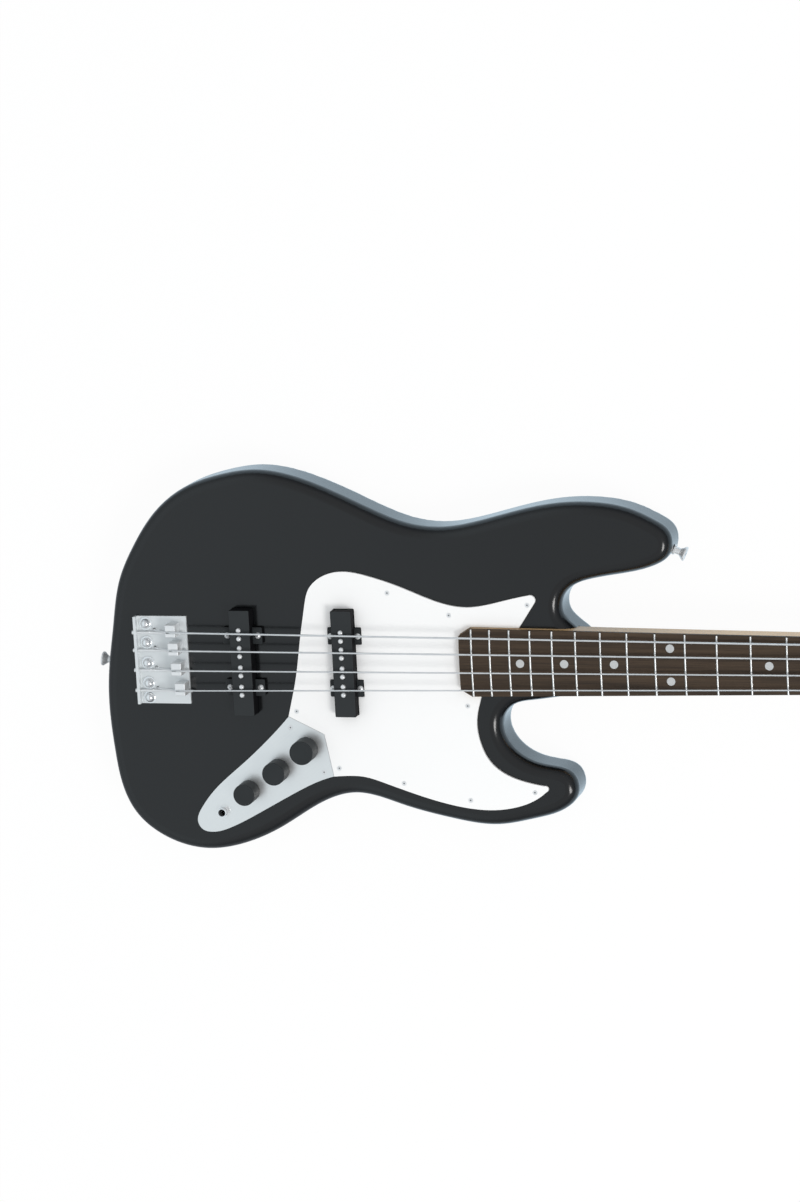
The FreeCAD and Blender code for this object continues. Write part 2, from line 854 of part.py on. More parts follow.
def hex_nut(flats, z0, z1):
    corner = flats / 2 / math.cos(math.pi / 6)
    points = [turn_point(Vector(0, 0, 0), corner, k * math.pi / 3, 0) for k in range(7)]
    return prism(Part.makePolygon(points), z0, z1)


def control_nuts():
    seat = plate_top + control_washer_thickness
    above = seat + control_nut_height + overrun
    washer = upright(control_washer_radius, 0, 0, plate_top, seat)
    nut = fused([hex_nut(control_nut_flats, seat, seat + control_nut_height), washer])
    nut = nut.cut(upright(pot_thread_radius + seat_gap, 0, 0, plate_top - overrun, above))
    jack_nut = hex_nut(jack_nut_flats, plate_top, plate_top + jack_nut_height)
    jack_nut = jack_nut.cut(upright(jack_thread_radius + seat_gap, 0, 0, plate_top - overrun, above))
    nuts = [jack_nut] + [nut] * len(knob_names)
    return [moved(nut, *control_place(step), 0) for step, nut in enumerate(nuts)]


def output_jack():
    x, y = control_place(0)
    low = body_thickness - jack_body_height
    barrel = turned([(jack_bore_radius, low), (jack_body_radius, low), (jack_body_radius, body_thickness),
                     (jack_thread_radius, body_thickness), (jack_thread_radius, plate_top + jack_rise),
                     (jack_bore_radius, plate_top + jack_rise)])
    outer = jack_body_radius - jack_leaf_thickness
    inner = outer - jack_leaf_thickness
    half = jack_leaf_width / 2
    leaves = [box(x0, x1, -half, half, low - jack_leaf_length, low + jack_leaf_thickness)
              for x0, x1 in ((inner, outer), (-outer, -inner))]
    return moved(fused([barrel] + leaves), x, y, 0)


def tone_capacitor():
    first = Vector(*control_place(1), pot_can_bottom())
    second = Vector(*control_place(2), pot_can_bottom())
    middle = (first + second) / 2 - Vector(0, 0, capacitor_drop)
    along = (second - first).normalize()
    half = along * (capacitor_thickness / 2)
    disc = rod(capacitor_radius, middle - half, middle + half)
    leads = []
    for end, side in ((first, -1), (second, 1)):
        inner = end + along * (-side * pot_can_radius / 2)
        foot = Vector(inner.x, inner.y, middle.z)
        leads.append(tube(rounded_run([middle, foot, inner], wire_bend_radius), lead_radius))
    return fused([disc] + leads)


def wiring():
    low = Vector(0, 0, channel_height)
    bend = wire_bend_radius
    wires = []
    for place, step, side in ((pickup_places[1], 3, 1), (pickup_places[0], 2, -1)):
        offset = side * wire_radius * 2
        end_x, end_y = control_place(step)
        middle_x, middle_y = control_place(2)
        first = Vector(place, channel_y + offset, 0)
        gate = Vector(pickup_places[0] + offset, channel_y + offset, 0)
        inside = Vector(middle_x + 2 * offset, middle_y, 0)
        end = Vector(end_x, end_y, 0)
        points = [first + Vector(0, 0, pickup_bottom), first + low]
        if place != pickup_places[0]:
            points.append(gate + low)
        if step != 2:
            points.append(inside + low)
        points += [end + low, end + Vector(0, 0, pot_can_bottom())]
        wires.append(tube(rounded_run(points, bend), wire_radius))
    return wires


# Pickups
def pickup_cover(which):
    shell = pickup_outline(which, 0, pickup_bottom, pickup_top)
    shell = shell.makeFillet(pickup_edge_round, flat_edges(shell, pickup_top))
    ears = ear_outlines(which, 0, body_thickness + seat_gap, body_thickness + ear_thickness)
    hollow = pickup_outline(which, -pickup_wall, pickup_bottom - overrun, pickup_top - pickup_wall)
    holes = [upright(pole_radius + seat_gap, x, y, 0, pickup_top + overrun) for x, y in pole_places(which)]
    holes += [upright(pickup_screw_radius + seat_gap, x, y, 0, pickup_top)
              for x, y in ear_screw_places(which)]
    return fused([shell] + ears).cut(Part.makeCompound([hollow] + holes))


def pole_places(which):
    return [(pickup_places[which] + pole_shift, middle + side * pole_spread / 2)
            for middle in pole_pair_places[which] for side in (1, -1)]


def pickup_poles(which):
    poles = []
    top = pickup_top + pole_rise
    for x, y in pole_places(which):
        pole = upright(pole_radius, x, y, pickup_bottom, top)
        poles.append(pole.makeFillet(pole_edge_round, flat_edges(pole, top)))
    return poles


def pickup_coil(which):
    inset = pickup_wall + seat_gap
    coil = pickup_outline(which, -inset, pickup_bottom, pickup_top - inset)
    holes = [upright(pole_radius + seat_gap, x, y, 0, pickup_top) for x, y in pole_places(which)]
    return coil.cut(Part.makeCompound(holes))


def pickup_foam(which):
    place = pickup_places[which]
    half = pickup_width / 2 - pickup_wall
    reach = foam_length / 2
    return box(place - half, place + half, pickup_side - reach, pickup_side + reach, pickup_cavity_floor,
               pickup_bottom)


def pickup_screws(which):
    screw = dome_screw(pickup_screw_head_radius, pickup_screw_head_height, pickup_screw_radius,
                       pickup_screw_length)
    return [moved(screw, x, y, body_thickness + ear_thickness) for x, y in ear_screw_places(which)]


# Bridge
def saddle_front(index):
    return saddle_front_e + index * saddle_stagger


def saddle_string_z(index):
    """Underside of a string over its saddle."""
    return fret_plane + saddle_string_rise - crown_drop(string_y(index, 0))


def nut_string_z(index):
    return fret_plane + nut_string_rise - crown_drop(string_y(index, scale_length))


def intonation_place(index, x):
    return Vector(x, string_y(index, 0) - intonation_screw_offset, bridge_top + intonation_screw_height)


def bridge_plate():
    low = bridge_side - bridge_width / 2
    high = bridge_side + bridge_width / 2
    wall_front = bridge_rear + bridge_wall_thickness
    wall_top = bridge_top + bridge_wall_height
    base = box(bridge_rear, bridge_front, low, high, body_thickness, bridge_top)
    wall = box(bridge_rear, wall_front, low, high, body_thickness, wall_top)
    cutters = [upright(bridge_screw_radius + seat_gap, x, y, 0, wall_top) for x, y in bridge_screw_places()]
    for index in range(string_count):
        cutters += string_holes(index, wall_top)
        cutters.append(rod(intonation_screw_radius + seat_gap, intonation_place(index, bridge_rear - overrun),
                           intonation_place(index, wall_front + overrun)))
    return fused([base, wall]).cut(Part.makeCompound(cutters))


def bridge_screws():
    screw = dome_screw(bridge_screw_head_radius, bridge_screw_head_height, bridge_screw_radius,
                       bridge_screw_length, bridge_washer_radius, bridge_washer_thickness)
    return [moved(screw, x, y, bridge_top) for x, y in bridge_screw_places()]


def saddle(index):
    y = string_y(index, 0)
    front = saddle_front(index)
    rear = front - saddle_length
    half = saddle_width / 2
    crest = saddle_string_z(index) - moving_gap
    top = crest + saddle_groove_depth
    middle = y + saddle_side
    block = box(rear, front, middle - half, middle + half, bridge_top + moving_gap, top)
    block = block.makeFillet(saddle_edge_round, flat_edges(block, top))
    break_x = front - saddle_length * saddle_flat_share
    profile = [(front + overrun, crest), (break_x, crest), (rear - overrun, crest - saddle_groove_fall),
               (rear - overrun, top + overrun), (front + overrun, top + overrun)]
    groove_half = string_radii[index] + moving_gap
    points = [Vector(x, y - groove_half, z) for x, z in profile]
    groove = Part.Face(Part.makePolygon(points + points[:1])).extrude(Vector(0, 2 * groove_half, 0))
    bore = rod(intonation_screw_radius + running_gap, intonation_place(index, rear - overrun),
               intonation_place(index, front + overrun))
    return block.cut(Part.makeCompound([groove, bore]))


def intonation_screw(index):
    seat = intonation_place(index, bridge_rear)
    tip = intonation_place(index, saddle_front(index) + saddle_travel - saddle_edge_round)
    head = rod(intonation_head_radius, intonation_place(index, bridge_rear - intonation_head_length), seat)
    return fused([head, rod(intonation_screw_radius, seat, tip)])


# Strings, which come up through the body from ferrules in its back
def string_start(index):
    return Vector(string_hole_x, string_y(index, 0), ferrule_seat + seat_gap)


def string_holes(index, top):
    start = string_start(index)
    return [upright(string_radii[index] + string_hole_gap, start.x, start.y, ferrule_seat, top)]


def ferrule_seats(index):
    start = string_start(index)
    flange_depth = seat_gap + ferrule_flange_thickness
    return [upright(ferrule_flange_radius + seat_gap, start.x, start.y, -overrun, flange_depth),
            upright(ferrule_radius + seat_gap, start.x, start.y, -overrun, seat_gap + ferrule_length)]


def string_ferrule(index):
    start = string_start(index)
    flange_top = seat_gap + ferrule_flange_thickness
    bore = ball_end_radius + moving_gap
    hole = string_radii[index] + string_hole_gap
    sleeve = turned([(bore, seat_gap), (ferrule_flange_radius, seat_gap), (ferrule_flange_radius, flange_top),
                     (ferrule_radius, flange_top), (ferrule_radius, seat_gap + ferrule_length),
                     (hole, seat_gap + ferrule_length), (hole, ferrule_seat), (bore, ferrule_seat)])
    return moved(sleeve, start.x, start.y, 0)


def ball_end(index):
    start = string_start(index)
    return upright(ball_end_radius, start.x, start.y, ferrule_seat - ball_end_length, ferrule_seat)


def string_run(index):
    """Route points of a string from the ball end to where it meets its post."""
    radius = string_radii[index]
    start = string_start(index)
    break_x = saddle_front(index) - saddle_length * saddle_flat_share
    points = [start,
              Vector(start.x, start.y, bridge_top + string_corner_rise),
              Vector(break_x, string_y(index, break_x), saddle_string_z(index) + radius),
              Vector(nut_end, string_y(index, nut_end), nut_string_z(index) + radius)]
    if index >= string_count - tree_string_count:
        tree_x = scale_length + tree_distance
        under = head_face + tree_height - radius - tree_string_gap
        points.append(Vector(tree_x, string_y(index, tree_x), under))
    return points + [wrap_entry(index, points[-1])]


def wrap_angle(index, origin):
    """Angle on the post at which a string coming from a point touches its wrap circle."""
    away = Vector(origin.x - post_x(index), origin.y - post_y(index), 0)
    return math.atan2(away.y, away.x) + math.acos(wrap_radii[index] / away.Length)


def wrap_entry(index, origin):
    centre = Vector(post_x(index), post_y(index), 0)
    return turn_point(centre, wrap_radii[index], wrap_angle(index, origin), wrap_start)


def wrap_pitch(index):
    return string_diameters[index] + winding_step_gap


def string_path(index):
    run = string_run(index)
    edges = rounded_run(run, string_bend_radius)
    centre = Vector(post_x(index), post_y(index), 0)
    angle = wrap_angle(index, run[-2])
    arrival = (run[-1] - run[-2]).normalize()
    edges += turns(centre, wrap_radii[index], angle, wrap_start, wrap_pitch(index), wrap_quarter_turns,
                   arrival)
    last = edges[-1]
    leave = last.tangentAt(last.LastParameter)
    end = last.valueAt(last.LastParameter)
    return edges + [line(end, end + leave * string_diameters[index])]


def string(index):
    return tube(string_path(index), string_radii[index])


def winding_path(index):
    """Turns of a string's end round its post, then a bend through the slot to the post's middle."""
    radius = wrap_radii[index]
    thick = string_diameters[index]
    centre = Vector(post_x(index), post_y(index), 0)
    quarters = winding_quarter_turns[index]
    start_z = wrap_start + wrap_pitch(index) * wrap_quarter_turns / 4 + thick + winding_gap
    end_z = slot_floor + thick / 2 + winding_gap
    pitch = (end_z - start_z) * 4 / quarters
    angle = wrap_angle(index, string_run(index)[-2]) + wrap_quarter_turns * math.pi / 2
    first = turn_point(centre, radius, angle, start_z)
    edges = [line(first - turn_tangent(radius, angle, pitch) * thick, first)]
    edges += turns(centre, radius, angle, start_z, pitch, quarters)
    last = edges[-1]
    point = last.valueAt(last.LastParameter)
    slot = slot_angle(index)
    bend = radius * winding_bend_share
    inner = turn_point(centre, math.sqrt((radius - bend) ** 2 - bend ** 2), slot, end_z)
    inward = Vector(-math.cos(slot), -math.sin(slot), 0)
    edges += biarc(point, last.tangentAt(last.LastParameter), inner, inward)
    return edges + [line(inner, inner + inward * (inner - Vector(centre.x, centre.y, end_z)).Length)]


def slot_angle(index):
    """Direction of the slot's mouth, where the winding turns in towards the post's middle."""
    radius = wrap_radii[index]
    bend = radius * winding_bend_share
    turned_in = math.acos(-bend / (radius - bend)) - math.pi / 2
    angle = wrap_angle(index, string_run(index)[-2]) + wrap_quarter_turns * math.pi / 2
    return angle + winding_quarter_turns[index] * math.pi / 2 + turned_in


def winding(index):
    return tube(winding_path(index), string_radii[index])


# Neck, fretboard, frets and nut
def neck_section(x, width, top, bottom, corner):
    half = width / 2
    inset = corner * (1 - math.cos(math.pi / 4))
    right = [Vector(x, half, top), Vector(x, half, bottom + corner)]
    low_right = Vector(x, half - corner, bottom)
    low_left = Vector(x, corner - half, bottom)
    left = [Vector(x, -half, bottom + corner), Vector(x, -half, top)]
    edges = [line(right[0], right[1]),
             arc_through(right[1], Vector(x, half - inset, bottom + inset), low_right),
             line(low_right, low_left),
             arc_through(low_left, Vector(x, inset - half, bottom + inset), left[0]),
             line(left[0], left[1]),
             line(left[1], right[0])]
    return Part.Wire(edges)


def head_blank():
    low = Vector(head_start, -head_neck_width / 2, 0)
    high = Vector(head_start, head_neck_width / 2, 0)

    def places(shares):
        return placed_shares(shares, head_start, 0, head_length, head_width)

    lower = [low] + places(head_lower_shares)
    tip = places(head_tip_shares)
    shoulder = places(head_shoulder_shares)
    edges = [curve(lower), curve([lower[-1]] + tip), line(tip[-1], shoulder[0]),
             arc_through(shoulder[0], shoulder[1], high), line(high, low)]
    return prism(Part.Wire(edges), head_back, head_face)


def neck():
    ramp_end = heel_end + heel_ramp_length
    heel_back = neck_top - neck_depth_at_heel
    nut_back = neck_top - neck_depth_at_nut
    sections = [neck_section(heel_end, neck_width(heel_end), neck_top, heel_floor, heel_corner_round),
                neck_section(ramp_end, neck_width(ramp_end), neck_top, heel_back, neck_back_round),
                neck_section(shelf_end, neck_width(shelf_end), neck_top, nut_back, neck_back_round),
                neck_section(head_start, head_neck_width, head_face, head_back, head_edge_round)]
    spans = [Part.makeLoft([a, b], True, True) for a, b in zip(sections, sections[1:])]
    blank = fused([neck_plan(heel_end, 0, heel_floor, neck_top)] + spans + [head_blank()])
    half = truss_rod_width / 2 + seat_gap
    floor = neck_top - truss_rod_depth - seat_gap
    cutters = [box(board_end + truss_nut_length - seat_gap, scale_length - truss_rod_end_margin, -half, half,
                   floor, neck_top + overrun)]
    rod_height = neck_top - truss_rod_depth / 2
    cutters.append(rod(truss_nut_radius + seat_gap, Vector(board_end - overrun, 0, rod_height),
                       Vector(board_end + truss_nut_length, 0, rod_height)))
    for x, y in neck_screw_places():
        cutters.append(upright(neck_screw_radius + seat_gap, x, y, 0, neck_screw_length + seat_gap))
    for index in range(string_count):
        x, y = post_x(index), post_y(index)
        cutters.append(upright(bushing_outer_radius + seat_gap, x, y, head_face - bushing_depth - seat_gap,
                               head_face + overrun))
        cutters.append(upright(post_radius + moving_gap, x, y, head_back - overrun, head_face))
    for x, y in tuner_screw_places():
        cutters.append(upright(tuner_screw_radius + seat_gap, x, y, head_back - overrun,
                               tuner_plate_bottom + tuner_screw_length + seat_gap))
    tree_x, tree_y = tree_place()
    tree_tip = head_face + tree_height + tree_thickness - tree_screw_length
    cutters.append(upright(tree_screw_radius + seat_gap, tree_x, tree_y, tree_tip - seat_gap,
                           head_face + overrun))
    return blank.cut(Part.makeCompound(cutters))


def truss_rod():
    half = truss_rod_width / 2
    rod_height = neck_top - truss_rod_depth / 2
    start = board_end + truss_nut_length
    end = scale_length - truss_rod_end_margin - seat_gap
    bar = box(start, end, -half, half, neck_top - truss_rod_depth, neck_top)
    end_nut = rod(truss_nut_radius, Vector(board_end, 0, rod_height), Vector(start, 0, rod_height))
    return fused([bar, end_nut])


def board_blank():
    axis = board_top - board_radius
    crown = rod(board_radius, Vector(0, 0, axis), Vector(scale_length, 0, axis))
    return neck_plan(scale_length, 0, neck_top, board_top).common(crown)


def fret_solid(number, width, height, tang_width, tang_depth, margin):
    x = fret_x(number)
    half_angle = math.degrees(math.asin((neck_width(x) / 2 - margin) / board_radius))
    base = board_top
    half = width / 2
    stem = tang_width / 2
    outline = [line(Vector(x - half, 0, base), Vector(x - stem, 0, base)),
               line(Vector(x - stem, 0, base), Vector(x - stem, 0, base - tang_depth)),
               line(Vector(x - stem, 0, base - tang_depth), Vector(x + stem, 0, base - tang_depth)),
               line(Vector(x + stem, 0, base - tang_depth), Vector(x + stem, 0, base)),
               line(Vector(x + stem, 0, base), Vector(x + half, 0, base)),
               arc_through(Vector(x + half, 0, base), Vector(x, 0, base + height), Vector(x - half, 0, base))]
    face = Part.Face(Part.Wire(outline))
    axis_point = Vector(x, 0, board_top - board_radius)
    face.rotate(axis_point, Vector(1, 0, 0), -half_angle)
    return face.revolve(axis_point, Vector(1, 0, 0), 2 * half_angle)


def frets():
    return [fret_solid(number, fret_width, fret_height, fret_tang_width, fret_tang_depth, fret_end_margin)
            for number in range(1, fret_count + 1)]


def fret_middle(number):
    return (fret_x(number) + fret_x(number - 1)) / 2


def dot_places():
    singles = [(fret_middle(number), 0) for number in single_dot_frets if number <= fret_count]
    return singles + [(fret_middle(double_dot_fret), side * dot_pair_width / 2) for side in (1, -1)]


def dot_floor(y):
    return board_top - crown_drop(y) - dot_depth


def fret_markers():
    blank = board_blank()
    return [upright(dot_radius, x, y, dot_floor(y), board_top + overrun).common(blank)
            for x, y in dot_places()]


def fretboard():
    slots = []
    for number in range(1, fret_count + 1):
        x = fret_x(number)
        half = fret_tang_width / 2 + seat_gap
        floor = board_top - crown_drop(neck_width(x) / 2) - fret_tang_depth - seat_gap
        slots.append(box(x - half, x + half, -heel_width, heel_width, floor, board_top + overrun))
    pockets = [upright(dot_radius + seat_gap / 2, x, y, dot_floor(y), board_top + overrun)
               for x, y in dot_places()]
    return board_blank().cut(Part.makeCompound(slots + pockets))


def nut():
    half = nut_width / 2
    top = fret_plane + nut_string_rise + string_diameters[0] * nut_groove_share
    block = box(scale_length, nut_end, -half, half, neck_top, top)
    grooves = []
    for index, radius in enumerate(string_radii):
        height = nut_string_z(index) + radius
        ends = (scale_length - overrun, nut_end + overrun)
        start, end = [Vector(x, string_y(index, x), height) for x in ends]
        wide = radius + seat_gap
        grooves.append(rod(wide, start, end))
        grooves.append(box(start.x, end.x, start.y - wide, start.y + wide, start.z, top + overrun))
    return block.cut(Part.makeCompound(grooves))


# Neck plate and screws
def neck_plate_blank(gap, bottom):
    middle = board_end + neck_plate_place
    half_length = neck_plate_length / 2 + gap
    half_width = neck_plate_width / 2 + gap
    return rounded_plate(middle - half_length, middle + half_length, -half_width, half_width, bottom,
                         seat_gap + neck_plate_thickness, neck_plate_round)


def neck_plate():
    hole = flat_screw_hole(neck_screw_head_radius, neck_screw_head_depth, neck_screw_radius,
                           neck_screw_length)
    hole.rotate(Vector(0, 0, 0), Vector(1, 0, 0), 180)
    holes = [moved(hole, x, y, seat_gap) for x, y in neck_screw_places()]
    return neck_plate_blank(0, seat_gap).cut(Part.makeCompound(holes))


def neck_screws():
    screw = flat_screw(neck_screw_head_radius, neck_screw_head_depth, neck_screw_radius,
                       neck_screw_length - seat_gap)
    screw.rotate(Vector(0, 0, 0), Vector(1, 0, 0), 180)
    return [moved(screw, x, y, seat_gap) for x, y in neck_screw_places()]


# Strap buttons
def along_wall(shape, foot, outward):
    copy = shape.copy()
    copy.rotate(Vector(0, 0, 0), Vector(0, 1, 0), 90)
    copy.rotate(Vector(0, 0, 0), Vector(0, 0, 1), math.degrees(math.atan2(outward.y, outward.x)))
    copy.translate(foot + outward * seat_gap)
    return copy


def button_height():
    return button_base_thickness + button_neck_length + button_flare_length + button_rim_thickness


def strap_buttons():
    top = button_height()
    flare = top - button_rim_thickness
    profile = [(0, 0), (button_base_radius, 0), (button_base_radius, button_base_thickness),
               (button_neck_radius, button_base_thickness), (button_neck_radius, flare - button_flare_length),
               (button_rim_radius, flare), (button_rim_radius, top), (0, top)]
    hole = flat_screw_hole(button_screw_head_radius, button_screw_head_depth, button_screw_radius,
                           top + overrun)
    button = turned(profile).cut(moved(hole, 0, 0, top))
    return [along_wall(button, foot, outward) for foot, outward in button_seats()]


def strap_button_screws():
    top = button_height()
    screw = flat_screw(button_screw_head_radius, button_screw_head_depth, button_screw_radius,
                       top + button_screw_length)
    screw.translate(Vector(0, 0, top))
    return [along_wall(screw, foot, outward) for foot, outward in button_seats()]


# Tuners
def at_post(shape, index):
    copy = shape.copy()
    copy.rotate(Vector(0, 0, 0), Vector(0, 0, 1), post_row_angle())
    copy.translate(Vector(post_x(index), post_y(index), 0))
    return copy


def tuner_screw_corners():
    columns = (-tuner_plate_back + tuner_screw_margin, tuner_plate_front - tuner_screw_margin)
    rows = (-tuner_plate_low + tuner_screw_margin, tuner_plate_high - tuner_screw_margin)
    return [(u, v) for u in columns for v in rows]


def tuner_screw_places():
    turn = math.radians(post_row_angle())
    return [(post_x(index) + u * math.cos(turn) - v * math.sin(turn),
             post_y(index) + u * math.sin(turn) + v * math.cos(turn))
            for index in range(string_count) for u, v in tuner_screw_corners()]


def tuner_plate():
    plate = rounded_plate(-tuner_plate_back, tuner_plate_front, -tuner_plate_low, tuner_plate_high,
                          tuner_plate_bottom, head_back, tuner_plate_round)
    inner = worm_half_length + key_lug_gap
    half = key_lug_width / 2
    lugs = []
    for side in (1, -1):
        y0, y1 = sorted((side * inner, side * (inner + key_lug_thickness)))
        foot = worm_height - key_lug_drop
        lugs.append(box(worm_distance - half, worm_distance + half, y0, y1, foot, head_back))
    reach = inner + key_lug_thickness + overrun
    bore = rod(key_shaft_radius + running_gap, Vector(worm_distance, -reach, worm_height),
               Vector(worm_distance, reach, worm_height))
    holes = [upright(post_radius + moving_gap, 0, 0, tuner_plate_bottom - overrun, head_back + overrun)]
    holes += [upright(tuner_screw_radius + seat_gap, u, v, tuner_plate_bottom - overrun, head_back + overrun)
              for u, v in tuner_screw_corners()]
    return fused([plate] + lugs).cut(Part.makeCompound([bore] + holes))


def tuner_bushing():
    top = head_face + bushing_flange_thickness
    low = head_face - bushing_depth
    inner = post_radius + running_gap
    return turned([(inner, low), (bushing_outer_radius, low), (bushing_outer_radius, head_face),
                   (bushing_flange_radius, head_face), (bushing_flange_radius, top), (inner, top)])


def headstock_screws():
    screw = dome_screw(tuner_screw_head_radius, tuner_screw_head_height, tuner_screw_radius,
                       tuner_screw_length)
    screw.rotate(Vector(0, 0, 0), Vector(1, 0, 0), 180)
    screws = [moved(screw, x, y, tuner_plate_bottom) for x, y in tuner_screw_places()]
    tree = dome_screw(tree_screw_head_radius, tree_screw_head_height, tree_screw_radius, tree_screw_length)
    tree_x, tree_y = tree_place()
    return screws + [moved(tree, tree_x, tree_y, head_face + tree_height + tree_thickness)]


def worm_wheel():
    """Wheel with round tooth spaces that lean with the worm's thread."""
    low = worm_height - gear_thickness / 2
    wheel = upright(gear_radius, 0, 0, low, low + gear_thickness)
    lean = math.degrees(math.atan(gear_pitch / (2 * math.pi * thread_path_radius)))
    space = upright(worm_thread_radius + mesh_gap, 0, 0, -gear_thickness, gear_thickness)
    space.rotate(Vector(0, 0, 0), Vector(1, 0, 0), -lean)
    space.translate(Vector(gear_radius, 0, worm_height))
    spaces = []
    for tooth in range(gear_teeth):
        copy = space.copy()
        copy.rotate(Vector(0, 0, 0), Vector(0, 0, 1), 360 * tooth / gear_teeth)
        spaces.append(copy)
    return wheel.cut(Part.makeCompound(spaces))


def tuner_post(index):
    low = worm_height + gear_thickness / 2
    shank = turned([(0, low), (post_radius, low), (post_radius, collar_top), (post_waist_radius, collar_top),
                    (post_waist_radius, waist_top), (post_radius, waist_top), (post_radius, post_top),
                    (0, post_top)])
    shank = shank.makeFillet(post_edge_round, flat_edges(shank, post_top))
    half = string_radii[index] + winding_gap
    slot = box(-post_radius - overrun, post_radius + overrun, -half, half, slot_floor, post_top + overrun)
    corner_x = math.sqrt(post_waist_radius ** 2 - half ** 2)
    mouth = upright(post_waist_radius * winding_mouth_share, corner_x, -half, slot_floor, waist_top)
    shank = shank.cut(slot).cut(mouth)
    shank.rotate(Vector(0, 0, 0), Vector(0, 0, 1), math.degrees(slot_angle(index)))
    shank.translate(Vector(post_x(index), post_y(index), 0))
    foot = worm_height - gear_thickness / 2
    screw_head = upright(gear_screw_radius, 0, 0, foot - gear_screw_height, foot)
    return fused([shank, at_post(worm_wheel(), index), at_post(screw_head, index)])


def worm():
    """Round-threaded worm along the key's axis."""
    low = -gear_pitch * worm_turns / 2
    edges = turns(Vector(0, 0, 0), thread_path_radius, -worm_turns * math.pi, low, gear_pitch, 4 * worm_turns)
    thread = tube(edges, worm_thread_radius)
    core = upright(worm_core_radius, 0, 0, -worm_half_length, worm_half_length)
    return core.fuse(thread)


def key_blade():
    half = key_thickness / 2
    disc = upright(key_lobe_radius, 0, 0, -half, half)
    disc = disc.makeFillet(key_edge_round, flat_edges(disc, half) + flat_edges(disc, -half))
    places = ((key_lobe_spread, key_lobe_place), (-key_lobe_spread, key_lobe_place), (0, key_tip_place))
    return fused([moved(disc, x, y, 0) for x, y in places])


def tuner_key():
    inner = worm_half_length + key_lug_gap + key_lug_thickness
    gear = worm()
    gear.rotate(Vector(0, 0, 0), Vector(1, 0, 0), -90)
    gear.rotate(Vector(0, 0, 0), Vector(0, 1, 0), 180)
    shaft = rod(key_shaft_radius, Vector(0, -inner, 0), Vector(0, key_reach, 0))
    stem = rod(key_stem_radius, Vector(0, key_reach, 0), Vector(0, key_reach + key_stem_length, 0))
    blade = moved(key_blade(), 0, key_reach, 0)
    return moved(fused([gear, shaft, stem, blade]), worm_distance, 0, worm_height)


def tree_place():
    x = scale_length + tree_distance
    return x, (string_y(2, x) + string_y(3, x)) / 2


def string_tree():
    x, y = tree_place()
    top = head_face + tree_height + tree_thickness
    bar = rounded_plate(x - tree_width / 2, x + tree_width / 2, y - tree_length / 2, y + tree_length / 2,
                        head_face + tree_height, top, tree_width / 3)
    stem = upright(tree_stem_radius, x, y, head_face, head_face + tree_height)
    hole = upright(tree_screw_radius + seat_gap, x, y, head_face - overrun, top + overrun)
    return fused([bar, stem]).cut(hole)


def export(name, shape):
    solid = Part.makeCompound(shape) if isinstance(shape, list) else shape
    solid.exportStep("parts/" + name + ".step")


def build():
    os.makedirs("parts", exist_ok=True)
    strings = range(string_count)
    pickups = range(len(pickup_places))
    pieces = {
        "body": body(), "pickguard": guard(), "guard_screws": guard_screws(),
        "control_plate": control_plate(), "potentiometers": potentiometers(),
        "control_nuts": control_nuts(), "output_jack": output_jack(),
        "tone_capacitor": tone_capacitor(), "wiring": wiring(),
        "pickup_poles": [pole for which in pickups for pole in pickup_poles(which)],
        "pickup_coils": [pickup_coil(which) for which in pickups],
        "pickup_foams": [pickup_foam(which) for which in pickups],
        "pickup_screws": [screw for which in pickups for screw in pickup_screws(which)],
        "bridge_plate": bridge_plate(), "bridge_screws": bridge_screws(),
        "intonation_screws": [intonation_screw(index) for index in strings],
        "string_ferrules": [string_ferrule(index) for index in strings],
        "ball_ends": [ball_end(index) for index in strings],
        "neck": neck(), "truss_rod": truss_rod(), "fretboard": fretboard(), "frets": frets(),
        "fret_markers": fret_markers(), "nut": nut(), "neck_plate": neck_plate(),
        "neck_screws": neck_screws(), "strap_buttons": strap_buttons(),
        "strap_button_screws": strap_button_screws(), "headstock_screws": headstock_screws(),
        "string_tree": string_tree()}
    for which in pickups:
        pieces[pickup_names[which]] = pickup_cover(which)
    for step in (1, 2, 3):
        pieces[knob_names[step - 1]] = knob(step)
        pieces[shaft_names[step - 1]] = pot_shaft(step)
    pieces["tuner_plates"] = [at_post(tuner_plate(), index) for index in range(string_count)]
    pieces["tuner_bushings"] = [moved(tuner_bushing(), post_x(i), post_y(i), 0) for i in range(string_count)]
    for index, letter in enumerate(string_names):
        pieces["string_" + letter] = string(index)
        pieces["winding_" + letter] = winding(index)
        pieces["saddle_" + letter] = saddle(index)
        pieces["tuner_post_" + letter] = tuner_post(index)
        pieces["tuner_key_" + letter] = at_post(tuner_key(), index)
        wrap_gap = least_gap(string_path(index)[-2 * wrap_quarter_turns - 3:], string_radii[index])
        turn_gap = least_gap(winding_path(index), string_radii[index])
        print("string", letter, "least gap to itself", round(wrap_gap, 2), "winding", round(turn_gap, 2))
    for name, shape in pieces.items():
        export(name, shape)


build()
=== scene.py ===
import json
import math

import bmesh
import bpy
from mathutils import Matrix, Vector
from mathutils.geometry import interpolate_bezier


